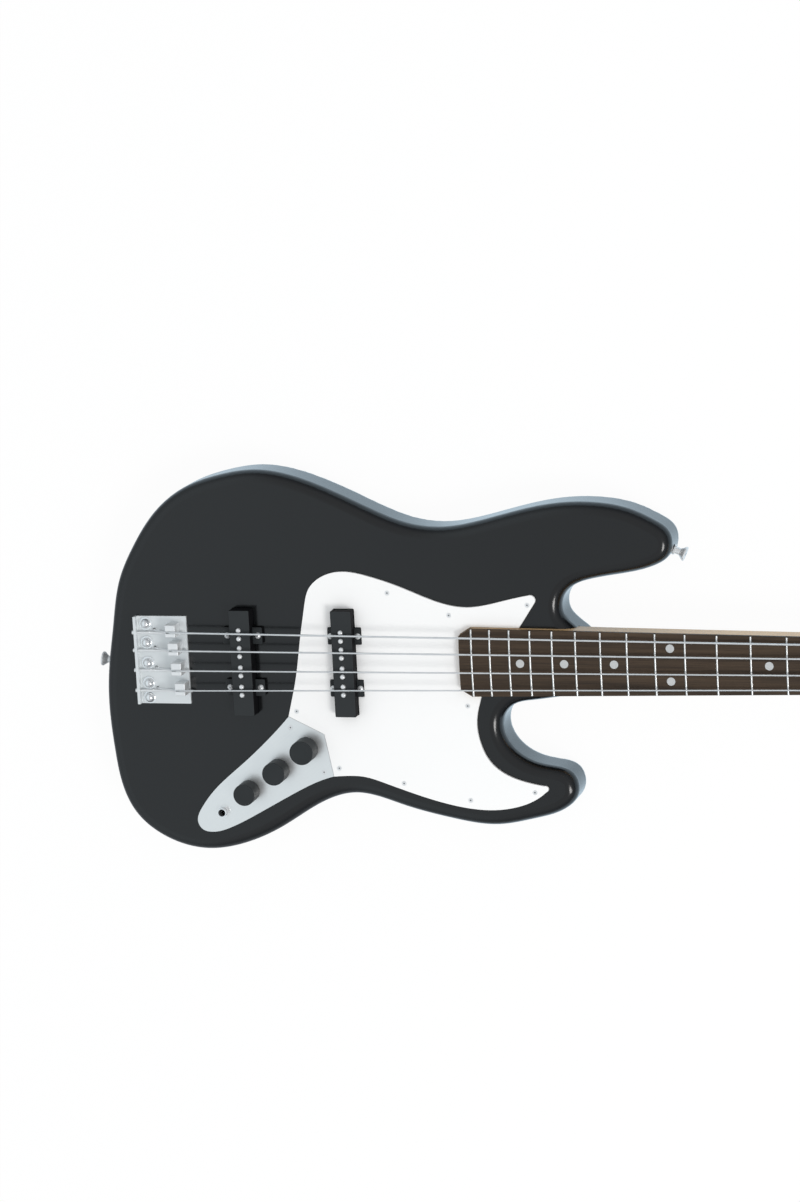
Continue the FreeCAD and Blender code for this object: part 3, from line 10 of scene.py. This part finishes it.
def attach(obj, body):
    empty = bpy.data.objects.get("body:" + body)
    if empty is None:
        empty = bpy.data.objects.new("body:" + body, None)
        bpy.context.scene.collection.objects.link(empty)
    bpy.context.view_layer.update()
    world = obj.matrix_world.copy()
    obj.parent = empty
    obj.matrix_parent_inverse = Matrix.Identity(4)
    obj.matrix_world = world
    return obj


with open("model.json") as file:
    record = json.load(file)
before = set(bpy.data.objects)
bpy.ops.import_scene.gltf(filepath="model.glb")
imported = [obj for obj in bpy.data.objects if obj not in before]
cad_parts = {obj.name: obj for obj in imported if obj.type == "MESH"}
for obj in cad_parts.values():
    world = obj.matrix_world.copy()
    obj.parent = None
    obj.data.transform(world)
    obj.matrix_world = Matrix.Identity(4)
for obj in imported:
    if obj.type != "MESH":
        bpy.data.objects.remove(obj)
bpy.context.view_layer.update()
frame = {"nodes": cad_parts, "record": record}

MM = 0.001

# Finishes: lengths in millimetres, angles in degrees
plate_brush_angle = -36.1
string_wrap_pitch = 0.55
coil_wire_pitch = 0.5
sleeve_weave_pitch = 1.1
worm_wheel_top = 24.4
wheel_edge_blend = 0.1

# Crosses painted with the shade of driver recesses: lengths in millimetres, angles in radians, tips as
# shares
cross_turn = 0.6
cross_steps = 6
cross_lift = 0.03
cross_tip_start = 0.9
cross_tip_width = 0.55
weld_distance = 0.001
back_screw_level = 27.0

# Wooden shoulder of the head: lengths in millimetres
shoulder_bottom = 28.52
shoulder_top = 42.98
shoulder_rounding = 2.0
rounding_segments = 5
shoulder_steps = 16
hollow_steps = 12
level_gap = 0.1
flat_normal = 0.99

# Floor in metres, and the slope of its painted reflection: seen only in reflections, its glow darkens
# towards one side
floor_half_size = 12.0
floor_place = (0.4, 0.0, -0.0004)
floor_glow_share = 0.95
reflection_shade_slope_x = 0.78
reflection_shade_slope_y = 0.62
reflection_shade_dark_end = -0.36
reflection_shade_pale_start = -0.12


# Shader maths
class Tone:
    """A shader socket that takes part in sums, and makes any other node it needs."""

    def __init__(self, tree, socket=None):
        self.tree = tree
        self.socket = socket

    def feed(self, target, value):
        if isinstance(value, Tone):
            self.tree.links.new(value.socket, target)
        else:
            target.default_value = value

    def node(self, kind, settings, sockets, out=0):
        made = self.tree.nodes.new(kind)
        for name, value in settings.items():
            setattr(made, name, value)
        for name, value in sockets.items():
            self.feed(made.inputs[name], value)
        return Tone(self.tree, made.outputs[out])

    def sum(self, operation, first, second=0.0):
        return self.node("ShaderNodeMath", {"operation": operation}, {0: first, 1: second})

    def __add__(self, other):
        return self.sum("ADD", self, other)

    def __radd__(self, other):
        return self.sum("ADD", other, self)

    def __sub__(self, other):
        return self.sum("SUBTRACT", self, other)

    def __rsub__(self, other):
        return self.sum("SUBTRACT", other, self)

    def __mul__(self, other):
        return self.sum("MULTIPLY", self, other)

    def __rmul__(self, other):
        return self.sum("MULTIPLY", other, self)

    def place(self):
        return self.node("ShaderNodeTexCoord", {}, {}, "Object")

    def turned(self, degrees):
        sockets = {"Vector": self, "Angle": math.radians(degrees)}
        return self.node("ShaderNodeVectorRotate", {"rotation_type": "Z_AXIS"}, sockets)

    def stretched(self, x, y, z):
        return self.node("ShaderNodeVectorMath", {"operation": "MULTIPLY"}, {0: self, 1: (x, y, z)})

    def upward(self, side=0.55, flat=0.95):
        """One where a surface faces up, and zero on its sides."""
        facing = self.node("ShaderNodeNewGeometry", {}, {}, "Normal")
        return facing.along("Z").between(side, flat)

    def along(self, axis):
        return self.node("ShaderNodeSeparateXYZ", {}, {0: self}, axis)

    def noise(self, scale, detail=2.0, rough=0.5, warp=0.0):
        sockets = {"Vector": self, "Scale": scale, "Detail": detail,
                   "Roughness": rough, "Distortion": warp}
        return self.node("ShaderNodeTexNoise", {}, sockets)

    def cells(self, scale):
        settings = {"feature": "DISTANCE_TO_EDGE"}
        return self.node("ShaderNodeTexVoronoi", settings, {"Vector": self, "Scale": scale})

    def between(self, low, high):
        sockets = {"Value": self, "From Min": low, "From Max": high}
        return self.node("ShaderNodeMapRange", {"interpolation_type": "SMOOTHSTEP"}, sockets)

    def wave(self, length):
        return self.sum("SINE", self * (2 * math.pi / length)) * 0.5 + 0.5

    def mixed(self, start, end):
        """A colour from start to end as this value goes from 0 to 1."""
        share, first_colour, second_colour, colour_out = 0, 6, 7, 2
        sockets = {share: self, first_colour: start, second_colour: end}
        return self.node("ShaderNodeMix", {"data_type": "RGBA"}, sockets, colour_out)

    def bump(self, strength, depth):
        return self.node("ShaderNodeBump", {}, {"Height": self, "Strength": strength, "Distance": depth})


def finish(name, make):
    material = bpy.data.materials.new(name)
    material.use_nodes = True
    tree = material.node_tree
    surface = tree.nodes["Principled BSDF"]
    pen = Tone(tree)
    for socket, value in make(pen.place()).items():
        pen.feed(surface.inputs[socket], value)
    return material


def rgb(red, green, blue):
    return (red, green, blue, 1.0)


# Finishes
def black_lacquer(place):
    cloud = place.noise(7, 3)
    haze = place.noise(160, 3)
    peel = place.noise(700, 2)
    rub = place.turned(25).stretched(25, 420, 420).noise(1, 4).between(0.62, 0.72)
    return {"Base Color": cloud.mixed(rgb(0.0040, 0.0046, 0.0052), rgb(0.0062, 0.0068, 0.0075)),
            "Roughness": 0.16 + 0.04 * cloud + 0.04 * haze + 0.06 * rub,
            "IOR": 1.34,
            "Coat Weight": 0.8,
            "Coat IOR": 1.34,
            "Coat Roughness": 0.16,
            "Normal": peel.bump(0.02, 0.2 * MM)}


def white_sheet(place):
    cloud = place.noise(12, 3)
    swirl = place.turned(-35).stretched(18, 600, 600).noise(1, 5).between(0.60, 0.75)
    return {"Base Color": cloud.mixed(rgb(0.905, 0.910, 0.905), rgb(0.935, 0.935, 0.930)),
            "Roughness": 0.26 + 0.08 * cloud + 0.08 * swirl,
            "Normal": (swirl * 0.6 + place.noise(900, 2)).bump(0.03, 0.1 * MM)}


def satin_plate(place):
    brush = place.turned(plate_brush_angle).stretched(14, 1900, 300).noise(1, 4)
    cloud = place.noise(40, 3)
    tone = brush * 0.6 + cloud * 0.4
    return {"Base Color": tone.mixed(rgb(0.84, 0.85, 0.845), rgb(0.94, 0.94, 0.93)),
            "Metallic": 1.0,
            "Roughness": 0.28 + 0.08 * brush + 0.05 * cloud,
            "Normal": brush.bump(0.04, 0.04 * MM)}


def plated_sheet(place):
    brush = place.stretched(1500, 16, 400).noise(1, 4)
    cloud = place.noise(60, 3)
    return {"Base Color": cloud.mixed(rgb(0.69, 0.72, 0.73), rgb(0.77, 0.80, 0.81)),
            "Metallic": 0.45,
            "Roughness": 0.40 + 0.10 * brush + 0.05 * cloud,
            "Normal": brush.bump(0.03, 0.03 * MM)}


def milled_steel(place):
    lines = place.stretched(200, 2600, 2600).noise(1, 3)
    cloud = place.noise(120, 3)
    return {"Base Color": cloud.mixed(rgb(0.74, 0.76, 0.77), rgb(0.83, 0.85, 0.86)),
            "Metallic": 0.5,
            "Roughness": 0.36 + 0.10 * lines + 0.05 * cloud,
            "Normal": lines.bump(0.05, 0.05 * MM)}


def bright_plating(place):
    smear = place.noise(180, 4, 0.6, 0.8)
    specks = place.noise(1400, 2).between(0.68, 0.76)
    return {"Base Color": smear.mixed(rgb(0.82, 0.83, 0.84), rgb(0.90, 0.905, 0.91)),
            "Metallic": 0.9,
            "Roughness": 0.10 + 0.10 * smear + 0.10 * specks,
            "Normal": smear.bump(0.02, 0.05 * MM)}


def satin_plating(place):
    smear = place.noise(200, 4, 0.6, 0.8)
    grain = place.noise(1500, 3)
    return {"Base Color": smear.mixed(rgb(0.74, 0.755, 0.765), rgb(0.83, 0.84, 0.845)),
            "Metallic": 0.5,
            "Roughness": 0.22 + 0.08 * smear + 0.08 * grain,
            "Normal": grain.bump(0.03, 0.05 * MM)}


def plain_steel(place):
    grain = place.noise(900, 3)
    cloud = place.noise(140, 3)
    return {"Base Color": cloud.mixed(rgb(0.40, 0.41, 0.42), rgb(0.56, 0.57, 0.58)),
            "Metallic": 1.0,
            "Roughness": 0.28 + 0.14 * grain + 0.06 * cloud,
            "Normal": grain.bump(0.05, 0.05 * MM)}


def brass_and_plating(place):
    """Bright plating with the brass worm wheel low on the post."""
    low = (worm_wheel_top - wheel_edge_blend) * MM
    high = (worm_wheel_top + wheel_edge_blend) * MM
    plated = place.along("Z").between(low, high)
    smear = place.noise(220, 4, 0.6, 0.8)
    return {"Base Color": plated.mixed(rgb(0.66, 0.48, 0.20), rgb(0.84, 0.845, 0.85)),
            "Metallic": 1.0,
            "Roughness": 0.09 + 0.12 * smear + 0.12 * (1 - plated),
            "Normal": smear.bump(0.03, 0.05 * MM)}


def turned_brass(place):
    smear = place.noise(260, 4)
    return {"Base Color": smear.mixed(rgb(0.52, 0.36, 0.14), rgb(0.74, 0.56, 0.27)),
            "Metallic": 1.0,
            "Roughness": 0.22 + 0.16 * smear,
            "Normal": smear.bump(0.03, 0.05 * MM)}


def pickup_plastic(place):
    grain = place.noise(1600, 2)
    cloud = place.noise(50, 3)
    rub = place.stretched(500, 40, 500).noise(1, 4).between(0.60, 0.74)
    # The side walls are painted near black and the top face lighter, by which way the surface faces:
    # painted shade on the sides.
    top = place.upward()
    face = cloud.mixed(rgb(0.025, 0.028, 0.030), rgb(0.031, 0.035, 0.037))
    return {"Base Color": top.mixed(rgb(0.004, 0.004, 0.005), face),
            "Roughness": 0.72 - 0.26 * top + 0.08 * grain - 0.10 * rub,
            "Specular IOR Level": 0.16,
            "Normal": grain.bump(0.10, 0.06 * MM)}


def knob_plastic(place):
    grain = place.noise(1300, 2)
    cloud = place.noise(70, 3)
    return {"Base Color": cloud.mixed(rgb(0.021, 0.024, 0.026), rgb(0.027, 0.031, 0.033)),
            "Roughness": 0.42 + 0.10 * grain + 0.05 * cloud,
            "Specular IOR Level": 0.18,
            "Normal": grain.bump(0.12, 0.06 * MM)}


def pale_maple(place):
    bands = place.stretched(2.2, 55, 40).noise(1, 5, 0.55, 0.6)
    lines = place.stretched(9, 900, 500).noise(1, 3)
    flecks = place.stretched(120, 900, 900).noise(1, 2).between(0.66, 0.78)
    tone = bands * 0.7 + lines * 0.3
    base = tone.mixed(rgb(0.57, 0.36, 0.165), rgb(0.72, 0.49, 0.255))
    return {"Base Color": (flecks * 0.35).mixed(base, rgb(0.45, 0.30, 0.16)),
            "Roughness": 0.34 + 0.12 * lines + 0.05 * flecks,
            "Coat Weight": 0.15 + 0.10 * bands,
            "Normal": (lines * 0.5 + flecks).bump(0.04, 0.08 * MM)}


def dark_board(place):
    bands = place.stretched(5, 210, 90).noise(1, 6, 0.62, 0.4)
    lines = place.stretched(18, 1300, 500).noise(1, 4)
    pores = place.stretched(60, 1900, 900).noise(1, 2).between(0.60, 0.70)
    tone = (bands * 0.65 + lines * 0.35).between(0.30, 0.70)
    base = tone.mixed(rgb(0.022, 0.013, 0.007), rgb(0.070, 0.044, 0.025))
    return {"Base Color": (pores * 0.55).mixed(base, rgb(0.022, 0.012, 0.007)),
            "Roughness": 0.46 + 0.14 * lines + 0.16 * pores,
            "Specular IOR Level": 0.30,
            "Normal": (lines * 0.4 - pores).bump(0.16, 0.10 * MM)}


def fret_wire(place):
    polish = place.stretched(300, 14, 300).noise(1, 4)
    return {"Base Color": polish.mixed(rgb(0.76, 0.76, 0.75), rgb(0.88, 0.88, 0.87)),
            "Metallic": 1.0,
            "Roughness": 0.40 + 0.10 * polish,
            "Normal": polish.bump(0.02, 0.04 * MM)}


def pale_inlay(place):
    cloud = place.noise(260, 4, 0.6, 1.2)
    return {"Base Color": cloud.mixed(rgb(0.44, 0.455, 0.46), rgb(0.58, 0.595, 0.60)),
            "Roughness": 0.26 + 0.14 * cloud,
            "Normal": cloud.bump(0.02, 0.05 * MM)}


def bone_white(place):
    cloud = place.noise(300, 4)
    lines = place.stretched(300, 40, 900).noise(1, 3)
    return {"Base Color": cloud.mixed(rgb(0.74, 0.69, 0.58), rgb(0.86, 0.83, 0.75)),
            "Roughness": 0.32 + 0.12 * lines,
            "Normal": lines.bump(0.03, 0.05 * MM)}


def wound_steel(place):
    ridges = place.along("X").wave(string_wrap_pitch * MM)
    smear = place.noise(160, 3)
    return {"Base Color": smear.mixed(rgb(0.76, 0.765, 0.77), rgb(0.90, 0.90, 0.90)),
            "Metallic": 1.0,
            "Roughness": 0.34 + 0.12 * smear + 0.08 * ridges,
            "Normal": ridges.bump(0.25, 0.06 * MM)}


def waxed_coil(place):
    # Each wire turn is painted lighter on its crest and darker where it meets the next: painted
    # highlight and shade.
    turns = place.along("Z").wave(coil_wire_pitch * MM)
    cloud = place.noise(200, 3)
    return {"Base Color": turns.mixed(rgb(0.050, 0.020, 0.010), rgb(0.16, 0.065, 0.030)),
            "Roughness": 0.32 + 0.15 * cloud,
            "Normal": turns.bump(0.3, 0.1 * MM)}


def open_foam(place):
    holes = place.cells(900)
    walls = holes.between(0.0, 0.5)
    return {"Base Color": walls.mixed(rgb(0.015, 0.015, 0.016), rgb(0.07, 0.07, 0.07)),
            "Roughness": 0.88 + 0.08 * holes,
            "Normal": holes.bump(0.6, 0.4 * MM)}


def wire_sleeve(place):
    pitch = sleeve_weave_pitch * MM
    weave = place.along("X").wave(pitch) * 0.5 + place.along("Y").wave(pitch) * 0.5
    return {"Base Color": weave.mixed(rgb(0.05, 0.05, 0.055), rgb(0.16, 0.16, 0.17)),
            "Roughness": 0.62 + 0.14 * weave,
            "Normal": weave.bump(0.2, 0.1 * MM)}


def dipped_disc(place):
    cloud = place.noise(400, 3)
    return {"Base Color": cloud.mixed(rgb(0.42, 0.19, 0.05), rgb(0.60, 0.31, 0.11)),
            "Roughness": 0.30 + 0.12 * cloud,
            "Normal": cloud.bump(0.08, 0.1 * MM)}


# Near black for the inside of a driver recess: painted shade.
def recess_shade(place):
    cloud = place.noise(900, 3)
    return {"Base Color": cloud.mixed(rgb(0.035, 0.036, 0.038), rgb(0.085, 0.087, 0.090)),
            "Metallic": 0.7,
            "Roughness": 0.40 + 0.20 * cloud}


# A paler grey of the same painted recess shade, for the pickup screws.
def faint_recess_shade(place):
    cloud = place.noise(900, 3)
    return {"Base Color": cloud.mixed(rgb(0.20, 0.205, 0.21), rgb(0.30, 0.305, 0.31)),
            "Metallic": 0.4,
            "Roughness": 0.44 + 0.16 * cloud}


slot_finishes = {
    "body_lacquer": black_lacquer, "guard_plastic": white_sheet, "plate_metal": satin_plate,
    "bridge_metal": plated_sheet, "saddle_steel": milled_steel, "chrome_metal": bright_plating,
    "screw_steel": plain_steel, "pickup_plastic": pickup_plastic, "knob_plastic": knob_plastic,
    "neck_wood": pale_maple, "board_wood": dark_board, "fret_metal": fret_wire,
    "marker_plastic": pale_inlay, "nut_bone": bone_white, "string_steel": wound_steel,
    "brass_metal": turned_brass, "coil_bobbin": waxed_coil, "foam_rubber": open_foam,
    "wire_sleeve": wire_sleeve, "capacitor_ceramic": dipped_disc}
materials = {slot: finish(slot, make) for slot, make in slot_finishes.items()}
geared_post = finish("geared_post", brass_and_plating)
satin_hardware = finish("satin_hardware", satin_plating)
satin_nodes = ("intonation_screws", "pickup_poles", "pickup_screws", "strap_buttons",
               "strap_button_screws", "guard_screws")

for entry in frame["record"]["subparts"]:
    piece = frame["nodes"][entry["node"]]
    coat = materials[entry["material_slot"]]
    if entry["node"].startswith("tuner_post"):
        coat = geared_post
    if entry["node"] in satin_nodes:
        coat = satin_hardware
    piece.data.materials.clear()
    piece.data.materials.append(coat)


# New objects
def placed(name, data):
    made = bpy.data.objects.new(name, data)
    bpy.context.scene.collection.objects.link(made)
    return made


def meshed(name, mesh):
    """Mesh data from a bmesh, which is then freed."""
    data = bpy.data.meshes.new(name)
    mesh.to_mesh(data)
    mesh.free()
    return data


# Driver recesses on the screw heads, drawn as dark crosses a hair above each head: painted shade, not
# cut hollows
def islands(node):
    """Corners of each separate solid in a node's mesh."""
    mesh = bmesh.new()
    mesh.from_mesh(frame["nodes"][node].data)
    bmesh.ops.remove_doubles(mesh, verts=mesh.verts, dist=weld_distance * MM)
    groups = []
    seen = set()
    for start in mesh.verts:
        if start in seen:
            continue
        seen.add(start)
        stack = [start]
        points = []
        while stack:
            vert = stack.pop()
            points.append(vert.co.copy())
            for edge in vert.link_edges:
                other = edge.other_vert(vert)
                if other not in seen:
                    seen.add(other)
                    stack.append(other)
        groups.append(points)
    mesh.free()
    return groups


def head_crown(points, axis):
    """Middle of a screw head's outer end, along the axis that the head faces."""
    top = max(point.dot(axis) for point in points)
    middle = sum(points, Vector()) / len(points)
    return middle + axis * (top - middle.dot(axis))


def add_cross(mesh, crown, axis, reach, width, ball):
    """A cross of two bent strips that follow a head's crown, a hair above it."""
    turn = axis.to_track_quat("Z", "X").to_matrix()
    for spin in (cross_turn, cross_turn + math.pi / 2):
        rows = []
        for k in range(cross_steps + 1):
            s = reach * (2 * k / cross_steps - 1)
            drop = (ball - math.sqrt(ball * ball - s * s)) if ball else 0.0
            half = width / 2 * (1.0 if abs(s) < reach * cross_tip_start else cross_tip_width)
            pair = []
            for side in (-half, half):
                flat = Vector((s * math.cos(spin) - side * math.sin(spin),
                               s * math.sin(spin) + side * math.cos(spin),
                               cross_lift * MM - drop))
                pair.append(mesh.verts.new(crown + turn @ flat))
            rows.append(pair)
        for one, two in zip(rows, rows[1:]):
            mesh.faces.new((one[0], two[0], two[1], one[1]))


up = Vector((0, 0, 1))
shade = finish("recess_shade", recess_shade)
faint_shade = finish("faint_shade", faint_recess_shade)


def recess_shade_crosses(name, spots, reach, width, ball=0.0, coat=shade):
    """One piece with a cross of painted recess shade on each head. Sizes are in millimetres; ball is a
    domed head's radius.
    """
    mesh = bmesh.new()
    for crown, axis in spots:
        add_cross(mesh, crown, axis, reach * MM, width * MM, ball * MM)
    bmesh.ops.recalc_face_normals(mesh, faces=mesh.faces)
    piece = placed(name, meshed(name, mesh))
    piece.data.materials.append(coat)
    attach(piece, "frame")


def facing(node, axis):
    """Crown and axis of each screw in a node whose heads all face one way."""
    return [(head_crown(points, axis), axis) for points in islands(node)]


strap_axes = [Vector(mount["axis"]) for mount in frame["record"]["mounts"]
              if mount["name"].startswith("strap_button")]
strap_spots = []
for points in islands("strap_button_screws"):
    middle = sum(points, Vector()) / len(points)
    axis = max(strap_axes, key=middle.dot)
    strap_spots.append((head_crown(points, axis), axis))
head_spots = []
for points in islands("headstock_screws"):
    low = min(point.z for point in points)
    axis = -up if low < back_screw_level * MM else up
    head_spots.append((head_crown(points, axis), axis))
recess_shade_crosses("guard_screw_crosses", facing("guard_screws", up), reach=0.8, width=0.5)
recess_shade_crosses("pickup_screw_crosses", facing("pickup_screws", up),
               reach=1.4, width=0.6, ball=3.08, coat=faint_shade)
recess_shade_crosses("neck_screw_crosses", facing("neck_screws", -up), reach=2.7, width=1.1)
recess_shade_crosses("tuner_screw_crosses", head_spots, reach=1.3, width=0.6, ball=2.67)
recess_shade_crosses("strap_screw_crosses", strap_spots, reach=2.0, width=0.9)


# Wooden shoulder of the head, which the solids lack under one corner of the first tuner's base plate
def shoulder_rim():
    """Outer line in millimetres: the head's straight edge, a round shoulder, a hollow to the neck."""
    edge_end = Vector((935.0, 37.45))
    edge_start = Vector((916.25, 42.09))
    edge_handle = Vector((905.0, 44.87))
    shoulder_handle = Vector((896.2, 41.5))
    shoulder = Vector((895.2, 34.5))
    hollow_handle = Vector((894.4, 28.6))
    neck_handle = Vector((891.5, 23.6))
    neck_side = Vector((886.5, 21.3))
    outer = interpolate_bezier(edge_start, edge_handle, shoulder_handle, shoulder, shoulder_steps)
    hollow = interpolate_bezier(shoulder, hollow_handle, neck_handle, neck_side, hollow_steps)
    return [(point.x, point.y) for point in [edge_end] + list(outer) + list(hollow)[1:]]


def head_shoulder(low, high, rounding):
    rim = shoulder_rim()
    inside = [(886.5, 19.5), (903.0, 21.5), (904.5, 29.0),
              (908.8, 34.3), (917.0, 38.6), (935.0, 34.5)]
    mesh = bmesh.new()
    bottom = mesh.faces.new([mesh.verts.new((x * MM, y * MM, low * MM)) for x, y in rim + inside])
    risen = bmesh.ops.extrude_face_region(mesh, geom=[bottom])["geom"]
    top = [vert for vert in risen if isinstance(vert, bmesh.types.BMVert)]
    bmesh.ops.translate(mesh, verts=top, vec=(0, 0, (high - low) * MM))
    bmesh.ops.recalc_face_normals(mesh, faces=mesh.faces)
    on_rim = {(round(x, 2), round(y, 2)) for x, y in rim}

    def rim_vert(vert):
        return (round(vert.co.x / MM, 2), round(vert.co.y / MM, 2)) in on_rim

    outer = [edge for edge in mesh.edges
             if abs(edge.verts[0].co.z - edge.verts[1].co.z) < level_gap * MM
             and all(rim_vert(vert) for vert in edge.verts)]
    bmesh.ops.bevel(mesh, geom=outer, offset=rounding * MM, segments=rounding_segments,
                    profile=0.5, affect="EDGES")
    for face in mesh.faces:
        face.smooth = abs(face.normal.z) < flat_normal
    piece = placed("head_shoulder", meshed("head_shoulder", mesh))
    piece.data.materials.append(materials["neck_wood"])
    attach(piece, "frame")


head_shoulder(shoulder_bottom, shoulder_top, shoulder_rounding)


# Camera at the photograph's angle
lens = bpy.data.cameras.new("camera")
camera = placed("camera", lens)
camera.location = (1.1053, 0.7097, 3.1630)
camera.rotation_euler = (math.radians(-12.277), math.radians(15.430), math.radians(-3.023))
lens.sensor_fit = "AUTO"
lens.sensor_width = 36.0
lens.lens = 115.62
lens.clip_end = 60.0
bpy.context.scene.camera = camera


# Floor, lamp and surroundings
def seen_rays(pen):
    """One for rays from the eye, reflections and views through glass, and zero for diffuse light."""
    rays = [pen.node("ShaderNodeLightPath", {}, {}, name)
            for name in ("Is Camera Ray", "Is Glossy Ray", "Is Transmission Ray")]
    return pen.sum("MINIMUM", rays[0] + rays[1] + rays[2], 1.0)


def floor_material():
    material = bpy.data.materials.new("pale_floor")
    material.use_nodes = True
    tree = material.node_tree
    tree.nodes.clear()
    pen = Tone(tree)
    lit = pen.node("ShaderNodeBsdfDiffuse", {}, {"Color": rgb(0.93, 0.94, 0.95)})
    mirrored = pen.node("ShaderNodeLightPath", {}, {}, "Is Glossy Ray")
    place = pen.place()
    # Seen only in reflections, the floor's glow is painted dark grey on one side and pale blue on the
    # other: a painted reflection that shades and tints what mirrors it.
    across = place.along("X") * reflection_shade_slope_x + place.along("Y") * reflection_shade_slope_y
    pale = across.between(reflection_shade_dark_end, reflection_shade_pale_start)
    painted_reflection = pale.mixed(rgb(0.30, 0.33, 0.36), rgb(0.70, 0.87, 1.0))
    colour = mirrored.mixed(rgb(1.0, 1.0, 1.0), painted_reflection)
    glow = pen.node("ShaderNodeEmission", {}, {"Color": colour, "Strength": 1.0})
    share = seen_rays(pen) * floor_glow_share
    blend = pen.node("ShaderNodeMixShader", {}, {0: share, 1: lit, 2: glow})
    end = tree.nodes.new("ShaderNodeOutputMaterial")
    tree.links.new(blend.socket, end.inputs["Surface"])
    return material


floor_mesh = bmesh.new()
bmesh.ops.create_grid(floor_mesh, x_segments=2, y_segments=2, size=floor_half_size)
floor = placed("floor", meshed("floor", floor_mesh))
floor.location = floor_place
floor.data.materials.append(floor_material())


def soft_lamp(name, place, target, width, height, power, colour):
    data = bpy.data.lights.new(name, "AREA")
    data.shape = "ELLIPSE"
    data.size = width
    data.size_y = height
    data.energy = power
    data.color = colour
    lamp = placed(name, data)
    lamp.location = place
    lamp.rotation_euler = (Vector(target) - Vector(place)).to_track_quat("-Z", "Y").to_euler()


soft_lamp("key_lamp", place=(2.39, -1.02, 2.72), target=(0.2, 0.0, 0.0),
          width=1.3, height=1.3, power=50.0, colour=(1.0, 0.985, 0.97))

world = bpy.data.worlds.new("studio")
bpy.context.scene.world = world
world.use_nodes = True
world.node_tree.nodes.clear()
pen = Tone(world.node_tree)
heading = pen.node("ShaderNodeTexCoord", {}, {}, "Generated")
ceiling = heading.along("X").between(-0.40, -0.10).mixed(rgb(0.80, 0.89, 0.94), rgb(0.58, 0.60, 0.62))
horizon = heading.along("X").between(-0.80, 0.10).mixed(rgb(0.46, 0.51, 0.54), rgb(0.20, 0.22, 0.25))
sky = heading.along("Z").between(0.05, 0.80).mixed(horizon, ceiling)
seen = pen.node("ShaderNodeBackground", {}, {"Color": sky, "Strength": 1.0})
lit = pen.node("ShaderNodeBackground", {}, {"Color": rgb(0.97, 0.985, 1.0), "Strength": 0.80})
blend = pen.node("ShaderNodeMixShader", {}, {0: seen_rays(pen), 1: lit, 2: seen})
out = world.node_tree.nodes.new("ShaderNodeOutputWorld")
world.node_tree.links.new(blend.socket, out.inputs["Surface"])

bpy.context.scene.view_settings.view_transform = "Standard"
